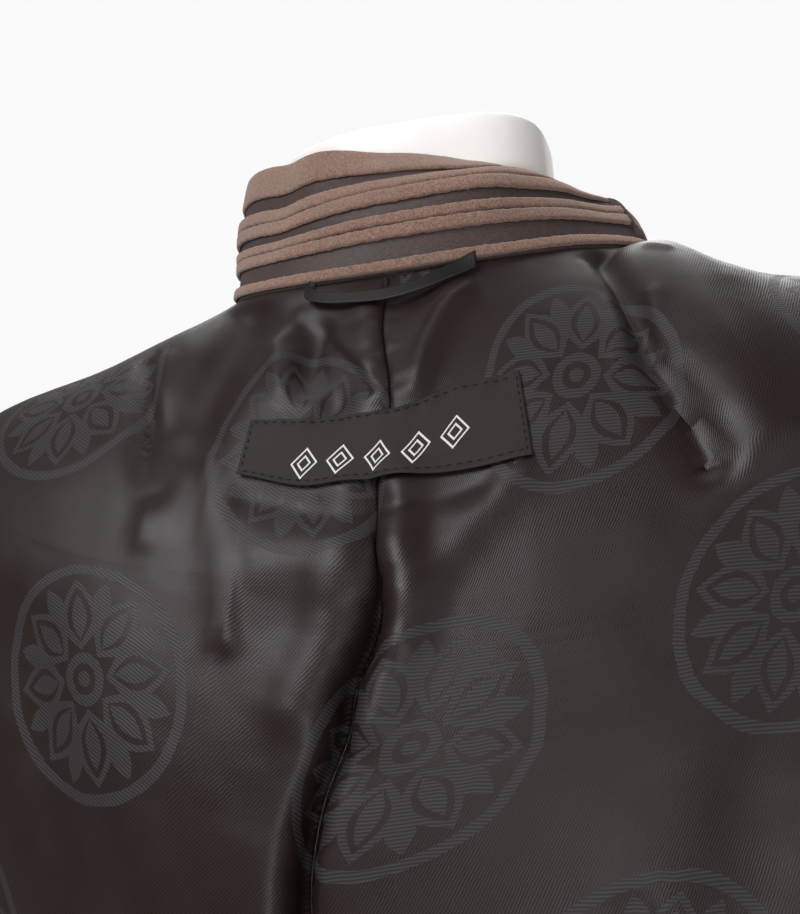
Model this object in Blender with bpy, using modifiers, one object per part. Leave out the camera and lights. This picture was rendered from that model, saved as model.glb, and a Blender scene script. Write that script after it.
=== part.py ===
"""Pantsuit on a limbless dress form, in metres, +Z up, its front facing -Y.

The jacket is worn inside out, so its lining, the wool facings and the turned-up edges face out.
Every cloth piece is a wall: an outer grid of points read from a smooth surface, and an inner grid
moved in along that surface's own normals, so pieces that meet at a seam stay a seam's gap apart.
Angles run round the body from the centre back, positive towards the wearer's right (-X).
"""
import math

import bmesh
import bpy
import numpy as np
from mathutils import Vector

# Driving sizes
CLOTH = 0.002           # lining and shell together
SEAM = 0.0003           # gap between pieces at a seam
BODY_SQUARE = 0.85      # how square the body's rings are, 1 for an ellipse
BACK_DROP = 1.6         # how the rings dip from side to back and front
FACING_WIDTH = 0.070
LABEL_LEVELS = (1.06, 1.49)
LABEL_HALF = 0.045      # half the label's length, from the centre-back seam
LABEL_END = 0.030       # last column before the label's end
TRIM_LIFT = 0.0003
LABEL_LIFT = 0.0005
LABEL_THICKNESS = 0.001
BAND_RISE = 0.0015
COLLAR_CLOTH = 0.0022
COLLAR_END = 165        # angle at which the collar ends in front
COLLAR_STEPS = 40       # steps in which the collar's section is summed up its height
COLLAR_DROP = 0.10      # how much lower the collar stands towards the left front
COLLAR_DROP_FROM = -60
COLLAR_DROP_SPREAD = 40
FOLD_SPAN = 0.015
FRONT_FOOT_LIFT = 0.0003
LEVEL_STEP = 0.001
FOLDS_FROM_LEVEL = 0.15  # the folds reach their full height here below the neck seam
FOLDS_FROM_SIDE = 0.25   # and at this cosine away from the side
# Radii that turn a seam's gap into an angle, and the height of one level at the hem
SIDE_RADIUS = 0.10
FACING_RADIUS = 0.15
SLEEVE_RADIUS = 0.06
HEM_LEVEL_HEIGHT = 0.1
ARMHOLE_BACK = 26
ARMHOLE_FRONT = 34
ARM_STEP = 20
UPPER_SLEEVE_REACH = 100
SLEEVE_HEAD = 2         # station at which the sleeve has its own rings
POLE_X = 0.096
POLE_RADIUS = 0.0125
BASE_X = 0.05
BASE_RADIUS = 0.19
BASE_HEIGHT = 0.012
WAISTBAND_TOP = 1.050
WAISTBAND_BOTTOM = 1.015
FORM_GAP = 0.0004
FLY_BOTTOM = 0.84
FLY_TURN = math.radians(13)
FLY_LIFT = 0.0006
BUTTON_RADIUS = 0.0075
BUTTON_DEPTH = 0.0025
BASE_EDGE = 0.0025
SHARP = math.radians(50)
SIDE_SINE = (0.93, 0.06)  # where the form comes closer to the lining at the shoulder line, over what span

# Jacket rings: level, half width, side y, back y, front y, back z, side z, front z
JACKET_RINGS = [
    (0.0, 0.070, 0.004, 0.062, -0.072, 1.440, 1.448, 1.385),
    (1.0, 0.118, 0.004, 0.088, -0.094, 1.396, 1.434, 1.350),
    (2.0, 0.185, 0.002, 0.108, -0.112, 1.345, 1.411, 1.305),
    (3.0, 0.194, 0.000, 0.121, -0.124, 1.290, 1.330, 1.262),
    (4.0, 0.186, 0.000, 0.124, -0.130, 1.235, 1.250, 1.220),
    (5.0, 0.170, 0.000, 0.116, -0.124, 1.140, 1.145, 1.135),
    (6.0, 0.156, 0.000, 0.105, -0.114, 1.040, 1.040, 1.040),
    (7.0, 0.184, 0.000, 0.124, -0.126, 0.920, 0.920, 0.920),
    (8.0, 0.200, 0.000, 0.134, -0.134, 0.820, 0.820, 0.820),
]
# Front opening: level, half gap between the two front edges
FRONT_GAP = [(0.0, 0.018), (2.0, 0.022), (4.0, 0.030), (6.0, 0.035), (8.0, 0.055)]
# The open neck is pulled wide on the wearer's right: share of the half width, and its angles
NECK_FLARE = 0.23
NECK_FLARE_FROM = 55
NECK_FLARE_SPREAD = 55

# Centre-back seam: height, x of the seam, depth of the pleat it falls into
BACK_SEAM = [
    (0.810, 0.004, 0.0000),
    (0.950, 0.010, 0.0020),
    (1.100, 0.023, 0.0050),
    (1.200, 0.027, 0.0080),
    (1.265, 0.028, 0.0100),
    (1.281, 0.0235, 0.0098),
    (1.299, 0.0150, 0.0090),
    (1.3125, 0.0115, 0.0080),
    (1.326, 0.0045, 0.0064),
    (1.340, 0.0010, 0.0045),
    (1.355, 0.0020, 0.0026),
    (1.370, 0.0020, 0.0010),
    (1.393, -0.0020, 0.0004),
    (1.423, 0.0015, 0.0003),
    (1.441, 0.0010, 0.0000),
]
PLEAT_WIDTH = 0.0045

# Large folds: half width, height (minus for a trough), then the line it follows as x and z
BACK_FOLDS = {
    "trough below the loop": (0.0075, -0.0035, [(0.031, 1.428), (0.024, 1.412), (0.017, 1.397)]),
    "ridge left of the seam": (0.0060, 0.0020, [(0.008, 1.430), (0.005, 1.413), (0.004, 1.398)]),
    "ridge right of the seam": (0.0070, 0.0025, [(-0.021, 1.427), (-0.014, 1.412), (-0.006, 1.398)]),
    "crease from the right neck point": (0.0050, -0.0060, [
        (-0.067, 1.440), (-0.076, 1.4165), (-0.082, 1.3975), (-0.0885, 1.382), (-0.094, 1.366)]),
    "bulge over the right shoulder": (0.0130, 0.0060, [
        (-0.086, 1.438), (-0.096, 1.420), (-0.104, 1.397), (-0.111, 1.372)]),
    "dip from the left neck point": (0.0120, -0.0030, [(0.050, 1.428), (0.059, 1.411), (0.078, 1.400)]),
    "upright fold on the left": (0.0060, -0.0035, [(0.091, 1.424), (0.083, 1.400), (0.077, 1.376)]),
    "left lip of the pleat": (0.0085, 0.0030, [
        (0.012, 1.366), (0.013, 1.348), (0.018, 1.326), (0.027, 1.308)]),
    "right lip of the pleat": (0.0085, 0.0030, [
        (-0.008, 1.366), (-0.009, 1.346), (-0.009, 1.323), (0.000, 1.303)]),
    "left waist fold": (0.0180, -0.0060, [(0.085, 1.170), (0.070, 1.080), (0.080, 0.960)]),
    "right waist fold": (0.0180, -0.0060, [(-0.075, 1.190), (-0.060, 1.090), (-0.078, 0.950)]),
    "right shoulder-blade fold": (0.0160, -0.0040, [(-0.120, 1.330), (-0.095, 1.270), (-0.085, 1.215)]),
    "left shoulder-blade fold": (0.0160, -0.0040, [(0.125, 1.330), (0.105, 1.270), (0.098, 1.210)]),
}
FRONT_FOLDS = {
    "left chest fold": (0.0170, -0.0050, [(0.115, 1.300), (0.098, 1.230), (0.095, 1.160)]),
    "right chest fold": (0.0170, -0.0050, [(-0.118, 1.310), (-0.102, 1.240), (-0.096, 1.150)]),
    "left front waist fold": (0.0160, -0.0050, [(0.110, 1.120), (0.100, 1.020), (0.115, 0.900)]),
    "right front waist fold": (0.0160, -0.0050, [(-0.106, 1.130), (-0.098, 1.030), (-0.112, 0.910)]),
}

# Collar: angle, lean inwards in degrees, how far its top rolls in, height of the roll in metres
COLLAR_SECTIONS = [
    (-165, -7, 13, 0.0265),
    (-130, -7, 13, 0.0265),
    (-100, -7, 13, 0.0265),
    (-60, 23, 0, 0.0265),
    (-20, 16, 1, 0.0265),
    (15, -7, 63, 0.0265),
    (45, 16, 112, 0.0350),
    (75, 30, 146, 0.0285),
    (100, 15, 156, 0.0285),
    (130, -8, 150, 0.0300),
    (165, -12, 145, 0.0320),
]
COLLAR_HEIGHT = 0.0519
COLLAR_ROWS = [0, 0.0006, 0.0047, 0.0115, 0.0139, 0.0163, 0.0182, 0.0202, 0.0220, 0.0238, 0.0264,
               0.0291, 0.0316, 0.0342, 0.0397, 0.0438, 0.0479, COLLAR_HEIGHT]
COLLAR_BANDS = {
    "collar_band_seam": (0.0006, 0.0047),
    "collar_band_lower_a": (0.0115, 0.0163),
    "collar_band_lower_b": (0.0163, 0.0202),
    "collar_band_upper_a": (0.0238, 0.0291),
    "collar_band_upper_b": (0.0291, 0.0342),
    "collar_band_top": (0.0397, COLLAR_HEIGHT),
}

# Sleeve rings: station, centre x, centre y, centre z, half width front to back, half depth, tilt
SLEEVE_RINGS = [
    (0, 0.1880, 0.000, 1.3300, 0.0670, 0.0820, 8.0),
    (1, 0.2090, 0.000, 1.3090, 0.0740, 0.0765, 15.0),
    (2, 0.2250, 0.000, 1.2760, 0.0760, 0.0630, 31.0),
    (3, 0.2335, -0.002, 1.2335, 0.0760, 0.0480, 53.5),
    (4, 0.2370, -0.004, 1.1825, 0.0760, 0.0397, 79.0),
    (5, 0.2380, -0.007, 1.1200, 0.0740, 0.0370, 90.0),
    (6, 0.2375, -0.012, 1.0500, 0.0700, 0.0345, 90.0),
    (7, 0.2365, -0.020, 0.9500, 0.0660, 0.0315, 90.0),
    (8, 0.2365, -0.026, 0.8700, 0.0630, 0.0300, 90.0),
    (9, 0.2365, -0.028, 0.8350, 0.0620, 0.0295, 90.0),
]
SLEEVE_STATIONS = [0, 0.5, 1, 1.5, 2, 3, 4, 5, 6, 7, 8]
CUFF_TOP = 8.008

# Trouser rings: height, centre x, half width, front depth, back depth
TROUSER_RINGS = [
    (0.036, 0.0970, 0.0490, 0.088, 0.090),
    (0.120, 0.0970, 0.0500, 0.088, 0.090),
    (0.300, 0.0960, 0.0520, 0.090, 0.092),
    (0.480, 0.0950, 0.0580, 0.092, 0.096),
    (0.600, 0.0940, 0.0700, 0.096, 0.100),
    (0.700, 0.0920, 0.0800, 0.100, 0.104),
    (0.765, 0.0868, 0.0862, 0.104, 0.108),
    (0.810, 0.0450, 0.1290, 0.106, 0.114),
    (0.860, 0.0120, 0.1600, 0.106, 0.118),
    (0.920, 0.0000, 0.1660, 0.104, 0.114),
    (0.970, 0.0000, 0.1500, 0.098, 0.106),
    (1.016, 0.0000, 0.1305, 0.0945, 0.0885),
]
TROUSER_ROWS = [1.0147, 0.970, 0.920, 0.885, 0.850, 0.820, 0.792, 0.765, 0.720, 0.650, 0.560,
                0.450, 0.320, 0.180, 0.036]

# Dress form below the ribs: height, half width, front depth, back depth
FORM_RINGS = [
    (0.800, 0.1380, 0.078, 0.086),
    (0.820, 0.1500, 0.088, 0.097),
    (0.860, 0.1590, 0.094, 0.104),
    (0.920, 0.1550, 0.094, 0.102),
    (0.970, 0.1390, 0.089, 0.095),
    (1.015, 0.1280, 0.092, 0.086),
    (1.050, 0.1280, 0.092, 0.086),
    (1.090, 0.1400, 0.100, 0.092),
]
FORM_ROWS = [0.800, 0.806, 0.820, 0.860, 0.920, 0.970, WAISTBAND_BOTTOM, WAISTBAND_TOP, 1.090]
# How far the form stays inside the lining wall: level, at the back and front, at the shoulder line
FORM_CLEARANCE = [
    (0.0, 0.0060, 0.0060),
    (0.3, 0.0070, 0.0018),
    (0.55, 0.0080, 0.0009),
    (1.0, 0.0100, 0.0009),
    (1.5, 0.0120, 0.0009),
    (2.0, 0.0150, 0.0040),
    (3.0, 0.0170, 0.0130),
    (4.0, 0.0170, 0.0150),
    (5.0, 0.0150, 0.0150),
]
NECK_CENTRE = (0.005, -0.005)
NECK_HALF = (0.0485, 0.0445)
NECK_BASE = 1.468
NECK_FOOT_INSET = 0.007
NECK_FOOT_DROP = 0.006
NECK_CURVE = np.array([0.85, 0.85, 0.05])
NECK_TOP = 1.500
NECK_EDGE = 0.004

MATERIALS = {
    "lining": ((0.030, 0.026, 0.025), 0.42),
    "wool": ((0.150, 0.092, 0.066), 0.92),
    "collar cloth": ((0.045, 0.033, 0.030), 0.62),
    "ribbon": ((0.022, 0.020, 0.021), 0.45),
    "label": ((0.020, 0.019, 0.020), 0.70),
    "form cover": ((0.86, 0.84, 0.82), 0.55),
    "form metal": ((0.55, 0.55, 0.56), 0.30),
    "button": ((0.060, 0.040, 0.032), 0.35),
}


def along(keys, values, at):
    """Smooth curve through the values at the keys, read at the given places."""
    keys = np.asarray(keys, float)
    values = np.asarray(values, float)
    at = np.clip(np.asarray(at, float), keys[0], keys[-1])
    slopes = np.gradient(values, keys, axis=0)
    index = np.clip(np.searchsorted(keys, at, side="right") - 1, 0, len(keys) - 2)
    gap = keys[index + 1] - keys[index]
    part = (at - keys[index]) / gap
    if values.ndim > 1:
        part = part[..., None]
        gap = gap[..., None]
    start = (2 * part**3 - 3 * part**2 + 1) * values[index]
    leave = (part**3 - 2 * part**2 + part) * gap * slopes[index]
    end = (3 * part**2 - 2 * part**3) * values[index + 1]
    arrive = (part**3 - part**2) * gap * slopes[index + 1]
    return start + leave + end + arrive


def read(table, at):
    """Reads every column of a table after its first, the key, at the given places."""
    return np.moveaxis(along([row[0] for row in table], [row[1:] for row in table], at), -1, 0)


def smooth_step(value):
    """Rises from 0 to 1 with flat ends."""
    value = np.clip(value, 0, 1)
    return value * value * (3 - 2 * value)


def outward(surface, first, second, sign=1, step=1e-4):
    """Unit normals of a surface of two parameters."""
    across = surface(first + step, second) - surface(first - step, second)
    down = surface(first, second + step) - surface(first, second - step)
    normal = np.cross(down, across) * sign
    return normal / np.linalg.norm(normal, axis=-1, keepdims=True)


def jacket_base(angle, level):
    """Smooth outer surface of the jacket, before its folds."""
    angle, level = np.broadcast_arrays(np.asarray(angle, float), np.asarray(level, float))
    half, side_y, back_y, front_y, back_z, side_z, front_z = read(JACKET_RINGS, level)
    sine = np.sin(angle)
    cosine = np.cos(angle)
    back = cosine >= 0
    flare = smooth_step((np.degrees(angle) - NECK_FLARE_FROM) / NECK_FLARE_SPREAD)
    half = half * (1 + NECK_FLARE * flare * np.clip(1 - level, 0, 1))
    x = -half * np.sign(sine) * np.abs(sine) ** BODY_SQUARE
    y = side_y + (np.where(back, back_y, front_y) - side_y) * np.abs(cosine) ** BODY_SQUARE
    z = side_z + (np.where(back, back_z, front_z) - side_z) * np.abs(cosine) ** BACK_DROP
    return np.stack([x, y, z], -1)


def line_distance(x, z, line):
    """Distance in x and z from a line through the given points."""
    best = np.full(np.shape(x), 9.0)
    for (x0, z0), (x1, z1) in zip(line, line[1:]):
        dx, dz = x1 - x0, z1 - z0
        share = np.clip(((x - x0) * dx + (z - z0) * dz) / (dx * dx + dz * dz), 0, 1)
        best = np.minimum(best, np.hypot(x - x0 - share * dx, z - z0 - share * dz))
    return best


def fold_height(points, angle, level):
    """How far the folds push the cloth out, or in where it is negative."""
    x, z = points[..., 0], points[..., 2]
    back = np.cos(angle) >= 0
    total = np.zeros(np.shape(x))
    for folds, here in ((BACK_FOLDS, back), (FRONT_FOLDS, ~back)):
        for width, height, line in folds.values():
            total += here * height * np.exp(-(line_distance(x, z, line) / width) ** 2)
    seam_x, depth = read(BACK_SEAM, z)
    total -= back * depth * np.exp(-((x - seam_x) / PLEAT_WIDTH) ** 2)
    from_neck = smooth_step(level / FOLDS_FROM_LEVEL)
    from_side = smooth_step(np.abs(np.cos(angle)) / FOLDS_FROM_SIDE)
    return total * from_neck * from_side


def jacket(angle, level):
    """Outer surface of the jacket with its folds."""
    angle, level = np.broadcast_arrays(np.asarray(angle, float), np.asarray(level, float))
    points = jacket_base(angle, level)
    normals = outward(jacket_base, angle, np.clip(level, LEVEL_STEP, JACKET_RINGS[-1][0] - LEVEL_STEP))
    return points + normals * fold_height(points, angle, level)[..., None]


def angle_at(level, x):
    """Angle behind the body at which the jacket passes the given x."""
    half = read(JACKET_RINGS, level)[0]
    share = np.clip(np.abs(x) / half, 0, 1) ** (1 / BODY_SQUARE)
    return -np.sign(x) * np.arcsin(share)


def seam_at(level):
    """The x of the centre-back seam at a level."""
    height = jacket_base(np.zeros(np.shape(level)), level)[..., 2]
    return read(BACK_SEAM, height)[0]


def layer(surface, first, second, lift, thickness, sign=1):
    """Outer and inner grids of a wall whose inner side is lifted off the surface."""
    points = surface(first, second)
    normals = outward(surface, first, second, sign)
    return points + normals * (lift + thickness), points + normals * lift


def wall_of(surface, first, second, sign=1):
    """Outer and inner grids of a cloth wall whose outer side is the surface."""
    return layer(surface, first, second, -CLOTH, CLOTH, sign)


def new_material(name):
    colour, roughness = MATERIALS[name]
    material = bpy.data.materials.new(name)
    material.use_nodes = True
    shader = material.node_tree.nodes["Principled BSDF"]
    shader.inputs["Base Color"].default_value = (*colour, 1)
    shader.inputs["Roughness"].default_value = roughness
    shader.inputs["Metallic"].default_value = 1.0 if name == "form metal" else 0.0
    return material


def finish(name, mesh, material):
    """Names the mesh's object, gives it its own material and puts it in the collection."""
    piece = bpy.data.objects.new(name, mesh)
    collection.objects.link(piece)
    mesh.materials.append(new_material(material))
    mesh.shade_smooth()
    mesh.set_sharp_from_angle(angle=SHARP)
    return piece


def mesh_from(bm, name):
    bmesh.ops.recalc_face_normals(bm, faces=bm.faces)
    mesh = bpy.data.meshes.new(name)
    bm.to_mesh(mesh)
    bm.free()
    return mesh


def make_wall(name, grids, material, ring=False, turned=0):
    """Closes matching outer and inner grids into one solid; a ring joins its ends.

    The first turned columns are split along their other diagonal.
    """
    bm = bmesh.new()
    outer, inner = [[[bm.verts.new(Vector(point)) for point in row] for row in grid] for grid in grids]
    rows, columns = len(outer), len(outer[0])
    pairs = [(j, (j + 1) % columns) for j in range(columns if ring else columns - 1)]
    for i in range(rows - 1):
        for j, k in pairs:
            for skin, order in ((outer, 1), (inner, -1)):
                first, second = skin[i], skin[i + 1]
                if j < turned:
                    bm.faces.new((first[j], first[k], second[j])[::order])
                    bm.faces.new((first[k], second[k], second[j])[::order])
                else:
                    bm.faces.new((first[j], first[k], second[k])[::order])
                    bm.faces.new((first[j], second[k], second[j])[::order])
    for i in (0, rows - 1):
        for j, k in pairs:
            bm.faces.new((outer[i][j], outer[i][k], inner[i][k], inner[i][j]))
    for j in (() if ring else (0, columns - 1)):
        for i in range(rows - 1):
            bm.faces.new((outer[i][j], outer[i + 1][j], inner[i + 1][j], inner[i][j]))
    return finish(name, mesh_from(bm, name), material)


def make_loft(name, rings, material):
    """One solid through rings of points, with flat ends."""
    bm = bmesh.new()
    lines = [[bm.verts.new(Vector(point)) for point in ring] for ring in rings]
    count = len(lines[0])
    for low, high in zip(lines, lines[1:]):
        for j in range(count):
            k = (j + 1) % count
            bm.faces.new((low[j], low[k], high[k], high[j]))
    bm.faces.new(lines[0])
    bm.faces.new(lines[-1])
    return finish(name, mesh_from(bm, name), material)


SIDE_NAMES = {"left": 1, "right": -1}
SIDE_GAP_ANGLE = (SEAM / 2 / SIDE_RADIUS) ** (1 / BODY_SQUARE)
FACING_GAP_ANGLE = SEAM / 2 / FACING_RADIUS
ARM_ANGLES = np.radians(np.arange(0, 181, ARM_STEP))
UPPER_LEVELS = [0, 0.15, 0.35, 0.6, 0.85, 1.06, 1.28, 1.49, 1.75]
LOWER_LEVELS = [4.5, 5.0, 5.5, 6.0, 6.6, 7.2]
HEM_LEVEL = 7.7
BACK_COLUMNS = 6        # columns of a back piece from the label's end to the side
HEM_GAP = SEAM / 2 / HEM_LEVEL_HEIGHT
BODY_LEVELS = np.array(UPPER_LEVELS + list(3 - np.cos(ARM_ANGLES)) + LOWER_LEVELS + [HEM_LEVEL - HEM_GAP])
NEAR_SEAM = [SEAM / 2, 0.003, 0.006, 0.010, 0.016, LABEL_END, LABEL_HALF]


def edge_angle(level, reach):
    """Angle from the centre back to the side edge of a panel, whose armhole bites in by the reach."""
    sine = np.sqrt(np.clip(1 - (3 - level) ** 2, 0, 1)) * ((level > 2) & (level < 4))
    return math.pi / 2 + np.sign(reach) * np.maximum(np.radians(abs(reach)) * sine, SIDE_GAP_ANGLE)


def facing_angle(level):
    """Angle of the seam between facing and lining on the front."""
    half = read(JACKET_RINGS, level)[0]
    gap = read(FRONT_GAP, level)[0]
    reach = np.minimum(gap + FACING_WIDTH, 0.8 * half)
    return math.pi - np.arcsin((reach / half) ** (1 / BODY_SQUARE))


def front_edge_angle(level):
    """Angle of the front edge, where the jacket hangs open."""
    half = read(JACKET_RINGS, level)[0]
    gap = read(FRONT_GAP, level)[0]
    return math.pi - np.arcsin((gap / half) ** (1 / BODY_SQUARE))


def back_angles(levels, side):
    """Columns of one half of the back, closer together beside the centre seam."""
    near = angle_at(levels, seam_at(levels) + side * np.array(NEAR_SEAM))
    far = -side * edge_angle(levels, -ARMHOLE_BACK)
    shares = np.linspace(0, 1, BACK_COLUMNS + 1)[1:]
    return np.hstack([near, near[:, -1:] + (far - near[:, -1:]) * shares])


def make_back(side_name, side):
    """One half of the back lining, from the centre seam to the side seam and armhole."""
    levels = BODY_LEVELS[:, None]
    angles = back_angles(levels, side)
    grids = wall_of(jacket, angles, np.broadcast_to(levels, angles.shape))
    make_wall("lining_back_" + side_name, grids, "lining")


def make_front(side_name, side):
    """The front lining, from the side seam to the facing."""
    levels = BODY_LEVELS[:, None]
    start = edge_angle(levels, ARMHOLE_FRONT)
    end = facing_angle(levels) - FACING_GAP_ANGLE
    angles = -side * (start + (end - start) * np.linspace(0, 1, 6))
    grids = wall_of(jacket, angles, np.broadcast_to(levels, angles.shape))
    make_wall("lining_front_" + side_name, grids, "lining")


def make_facing(side_name, side):
    """The wool facing along the open front edge."""
    levels = np.append(BODY_LEVELS[:-1], [HEM_LEVEL, 8.0])[:, None]
    start = facing_angle(levels) + FACING_GAP_ANGLE
    end = front_edge_angle(levels)
    angles = -side * (start + (end - start) * np.linspace(0, 1, 5))
    grids = wall_of(jacket, angles, np.broadcast_to(levels, angles.shape))
    make_wall("facing_" + side_name, grids, "wool")


def make_hem(side_name, side):
    """The wool turned up at the hem, from the centre-back seam to the facing."""
    levels = np.array([HEM_LEVEL + HEM_GAP, 8.0])[:, None]
    start = angle_at(levels, seam_at(levels) + side * SEAM / 2)
    end = -side * (facing_angle(levels) - FACING_GAP_ANGLE)
    angles = start + (end - start) * np.linspace(0, 1, 16)
    grids = wall_of(jacket, angles, np.broadcast_to(levels, angles.shape))
    make_wall("hem_turnup_" + side_name, grids, "wool")


def armhole(turn, side):
    """The armhole's loop, as if on the wearer's left; 0 at the shoulder tip, 90 degrees at the back."""
    bite = np.where(np.sin(turn) >= 0, ARMHOLE_BACK, ARMHOLE_FRONT)
    angle = math.pi / 2 - np.radians(bite) * np.sin(turn)
    points = jacket(-side * angle, 3 - np.cos(turn))
    return points * np.array([side, 1, 1])


def sleeve(side):
    """The surface of a sleeve, as if on the wearer's left: turn round it, station along it.

    It leaves the armhole straight towards a ring further down, and bends into its own rings.
    """
    def surface(turn, station):
        turn, station = np.broadcast_arrays(turn, station)
        head = np.clip(station / SLEEVE_HEAD, 0, 1)
        x, y, z, width, depth, tilt = read(SLEEVE_RINGS, np.where(head < 1, 1 + head**2, station))
        tilt = np.radians(tilt)
        across = depth * np.cos(turn)
        ring = np.stack([x + across * np.sin(tilt), y + width * np.sin(turn), z + across * np.cos(tilt)], -1)
        left = ((1 - head) ** 2)[..., None]
        return left * (armhole(turn, side) + np.array([SEAM, 0, 0])) + (1 - left) * ring
    return surface


def make_sleeve(side_name, side):
    """Two-piece sleeve and its turned-up cuff."""
    surface = sleeve(side)
    mirror = np.array([side, 1, 1])
    stations = np.array(SLEEVE_STATIONS, float)[:, None]
    spans = {"upper": (-UPPER_SLEEVE_REACH, UPPER_SLEEVE_REACH),
             "under": (UPPER_SLEEVE_REACH, 360 - UPPER_SLEEVE_REACH)}
    gap = math.degrees(SEAM / 2 / SLEEVE_RADIUS)
    for part, (start, end) in spans.items():
        turns = np.arange(start, end + 1, ARM_STEP, dtype=float)
        turns[0] += gap
        turns[-1] -= gap
        turns = np.radians(turns)[None, :]
        outer, inner = wall_of(surface, *np.broadcast_arrays(turns, stations))
        make_wall(f"sleeve_{part}_{side_name}", (outer * mirror, inner * mirror), "lining")
    turns = np.radians(np.arange(0, 360, ARM_STEP, dtype=float))[None, :]
    rows = np.array([CUFF_TOP, 9.0])[:, None]
    outer, inner = wall_of(surface, *np.broadcast_arrays(turns, rows))
    make_wall("cuff_" + side_name, (outer * mirror, inner * mirror), "wool", ring=True)


def collar(angle, height):
    """Outer surface of the collar: it stands up on the neck seam and its top rolls in on the right."""
    angle, height = np.broadcast_arrays(np.asarray(angle, float), np.asarray(height, float))
    lean, roll, roll_height = read(COLLAR_SECTIONS, np.degrees(angle))
    foot = jacket_base(angle, 0 * angle)
    run = jacket_base(angle + 1e-3, 0 * angle) - jacket_base(angle - 1e-3, 0 * angle)
    out = np.stack([-run[..., 1], run[..., 0], 0 * angle], -1)
    out = -out / np.linalg.norm(out, axis=-1, keepdims=True)
    walked = height[..., None] * (np.arange(COLLAR_STEPS) + 0.5) / COLLAR_STEPS
    rolled = smooth_step((walked - roll_height[..., None]) / FOLD_SPAN + 0.5)
    slope = np.radians(lean[..., None] + roll[..., None] * rolled)
    up = np.cos(slope).mean(-1) * height
    inward = np.sin(slope).mean(-1) * height
    lift = SEAM + FRONT_FOOT_LIFT * smooth_step((np.abs(np.degrees(angle)) - 80) / 30)
    return foot + np.array([0, 0, 1.0]) * (up + lift)[..., None] - out * inward[..., None]


def collar_surface(angle, height):
    """The collar, a little lower towards the wearer's left front."""
    towards_front = smooth_step((COLLAR_DROP_FROM - np.degrees(angle)) / COLLAR_DROP_SPREAD)
    return collar(angle, height * (1 - COLLAR_DROP * towards_front))


COLLAR_ANGLES = np.radians(np.concatenate([
    np.linspace(-COLLAR_END, -105, 8), np.linspace(-96, 96, 23), np.linspace(105, COLLAR_END, 8)]))


def make_collar():
    """The collar's base and the wool bands that run round it."""
    rows = np.array(COLLAR_ROWS)[:, None]
    grid = np.broadcast_arrays(COLLAR_ANGLES[None, :], rows)
    make_wall("collar", layer(collar_surface, *grid, -COLLAR_CLOTH, COLLAR_CLOTH, -1), "collar cloth")
    for name, (low, high) in COLLAR_BANDS.items():
        inside = [row for row in COLLAR_ROWS if low < row < high]
        rows = np.array([low + SEAM / 2] + inside + [high - SEAM / 2])[:, None]
        grid = np.broadcast_arrays(COLLAR_ANGLES[None, :], rows)
        make_wall(name, layer(collar_surface, *grid, TRIM_LIFT, BAND_RISE - TRIM_LIFT, -1), "wool")


# Hanger loop: share along it, centre x, y, z, lean of its width from upright in degrees
LOOP_PATH = [
    (0.00, 0.0305, 0.0603, 1.4410, 20),
    (0.18, 0.0265, 0.0648, 1.4365, 35),
    (0.38, 0.0150, 0.0690, 1.4328, 40),
    (0.60, 0.0000, 0.0700, 1.4318, 40),
    (0.78, -0.0130, 0.0683, 1.4348, 35),
    (0.92, -0.0215, 0.0655, 1.4400, 22),
    (1.00, -0.0262, 0.0634, 1.4440, 12),
]
LOOP_WIDTH = 0.0060
LOOP_THICKNESS = 0.0010


def loop_surface(share, across):
    """Face of the ribbon loop: share along it, distance across it."""
    share, across = np.broadcast_arrays(np.asarray(share, float), np.asarray(across, float))
    x, y, z, lean = read(LOOP_PATH, share)
    lean = np.radians(lean)
    return np.stack([x, y - across * np.sin(lean), z + across * np.cos(lean)], -1)


def make_trims():
    """Ribbon loop at the nape and the bare label under it."""
    shares = np.linspace(0, 1, 15)[None, :]
    across = np.linspace(-0.5, 0.5, 3)[:, None] * LOOP_WIDTH
    grid = np.broadcast_arrays(shares, across)
    make_wall("hanger_loop", layer(loop_surface, *grid, 0, LOOP_THICKNESS, -1), "ribbon")
    make_label()


def make_label():
    """The label, from the points of the two back pieces that it lies on, moved out."""
    levels = BODY_LEVELS[(BODY_LEVELS >= LABEL_LEVELS[0]) & (BODY_LEVELS <= LABEL_LEVELS[1])][:, None]
    halves = []
    for side in SIDE_NAMES.values():
        angles = back_angles(levels, side)[:, :len(NEAR_SEAM)]
        grid = np.broadcast_arrays(angles, levels)
        halves.append((jacket(*grid), outward(jacket, *grid)))
    points, normals = (join_halves(left, right) for left, right in zip(*halves))
    normals /= np.linalg.norm(normals, axis=-1, keepdims=True)
    grids = (points + normals * (LABEL_LIFT + LABEL_THICKNESS), points + normals * LABEL_LIFT)
    make_wall("label", grids, "label", turned=len(NEAR_SEAM) - 1)


def join_halves(left, right):
    """One grid from two that run out from the centre-back seam, with one column on the seam."""
    middle = (left[:, :1] + right[:, :1]) / 2
    return np.concatenate([left[:, :0:-1], middle, right[:, 1:]], 1)


def trouser(turn, height):
    """Surface of the trousers on the wearer's left: 0 at the side seam, 90 degrees at the front."""
    turn, height = np.broadcast_arrays(np.asarray(turn, float), np.asarray(height, float))
    centre, half, front, back = read(TROUSER_RINGS, height)
    sine, cosine = np.sin(turn), np.cos(turn)
    x = centre + half * np.sign(cosine) * np.abs(cosine) ** BODY_SQUARE
    y = np.where(sine > 0, -front, back) * np.abs(sine) ** BODY_SQUARE
    return np.stack([x, y, height], -1)


def trouser_end(height):
    """Turn at which a panel meets the centre seam, or the inseam below the fork."""
    centre, half, _, _ = read(TROUSER_RINGS, height)
    share = np.clip((SEAM / 2 - centre) / half, -1, 1)
    at_centre = np.arccos(np.sign(share) * np.abs(share) ** (1 / BODY_SQUARE))
    return np.minimum(at_centre, math.pi - SIDE_GAP_ANGLE)


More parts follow.
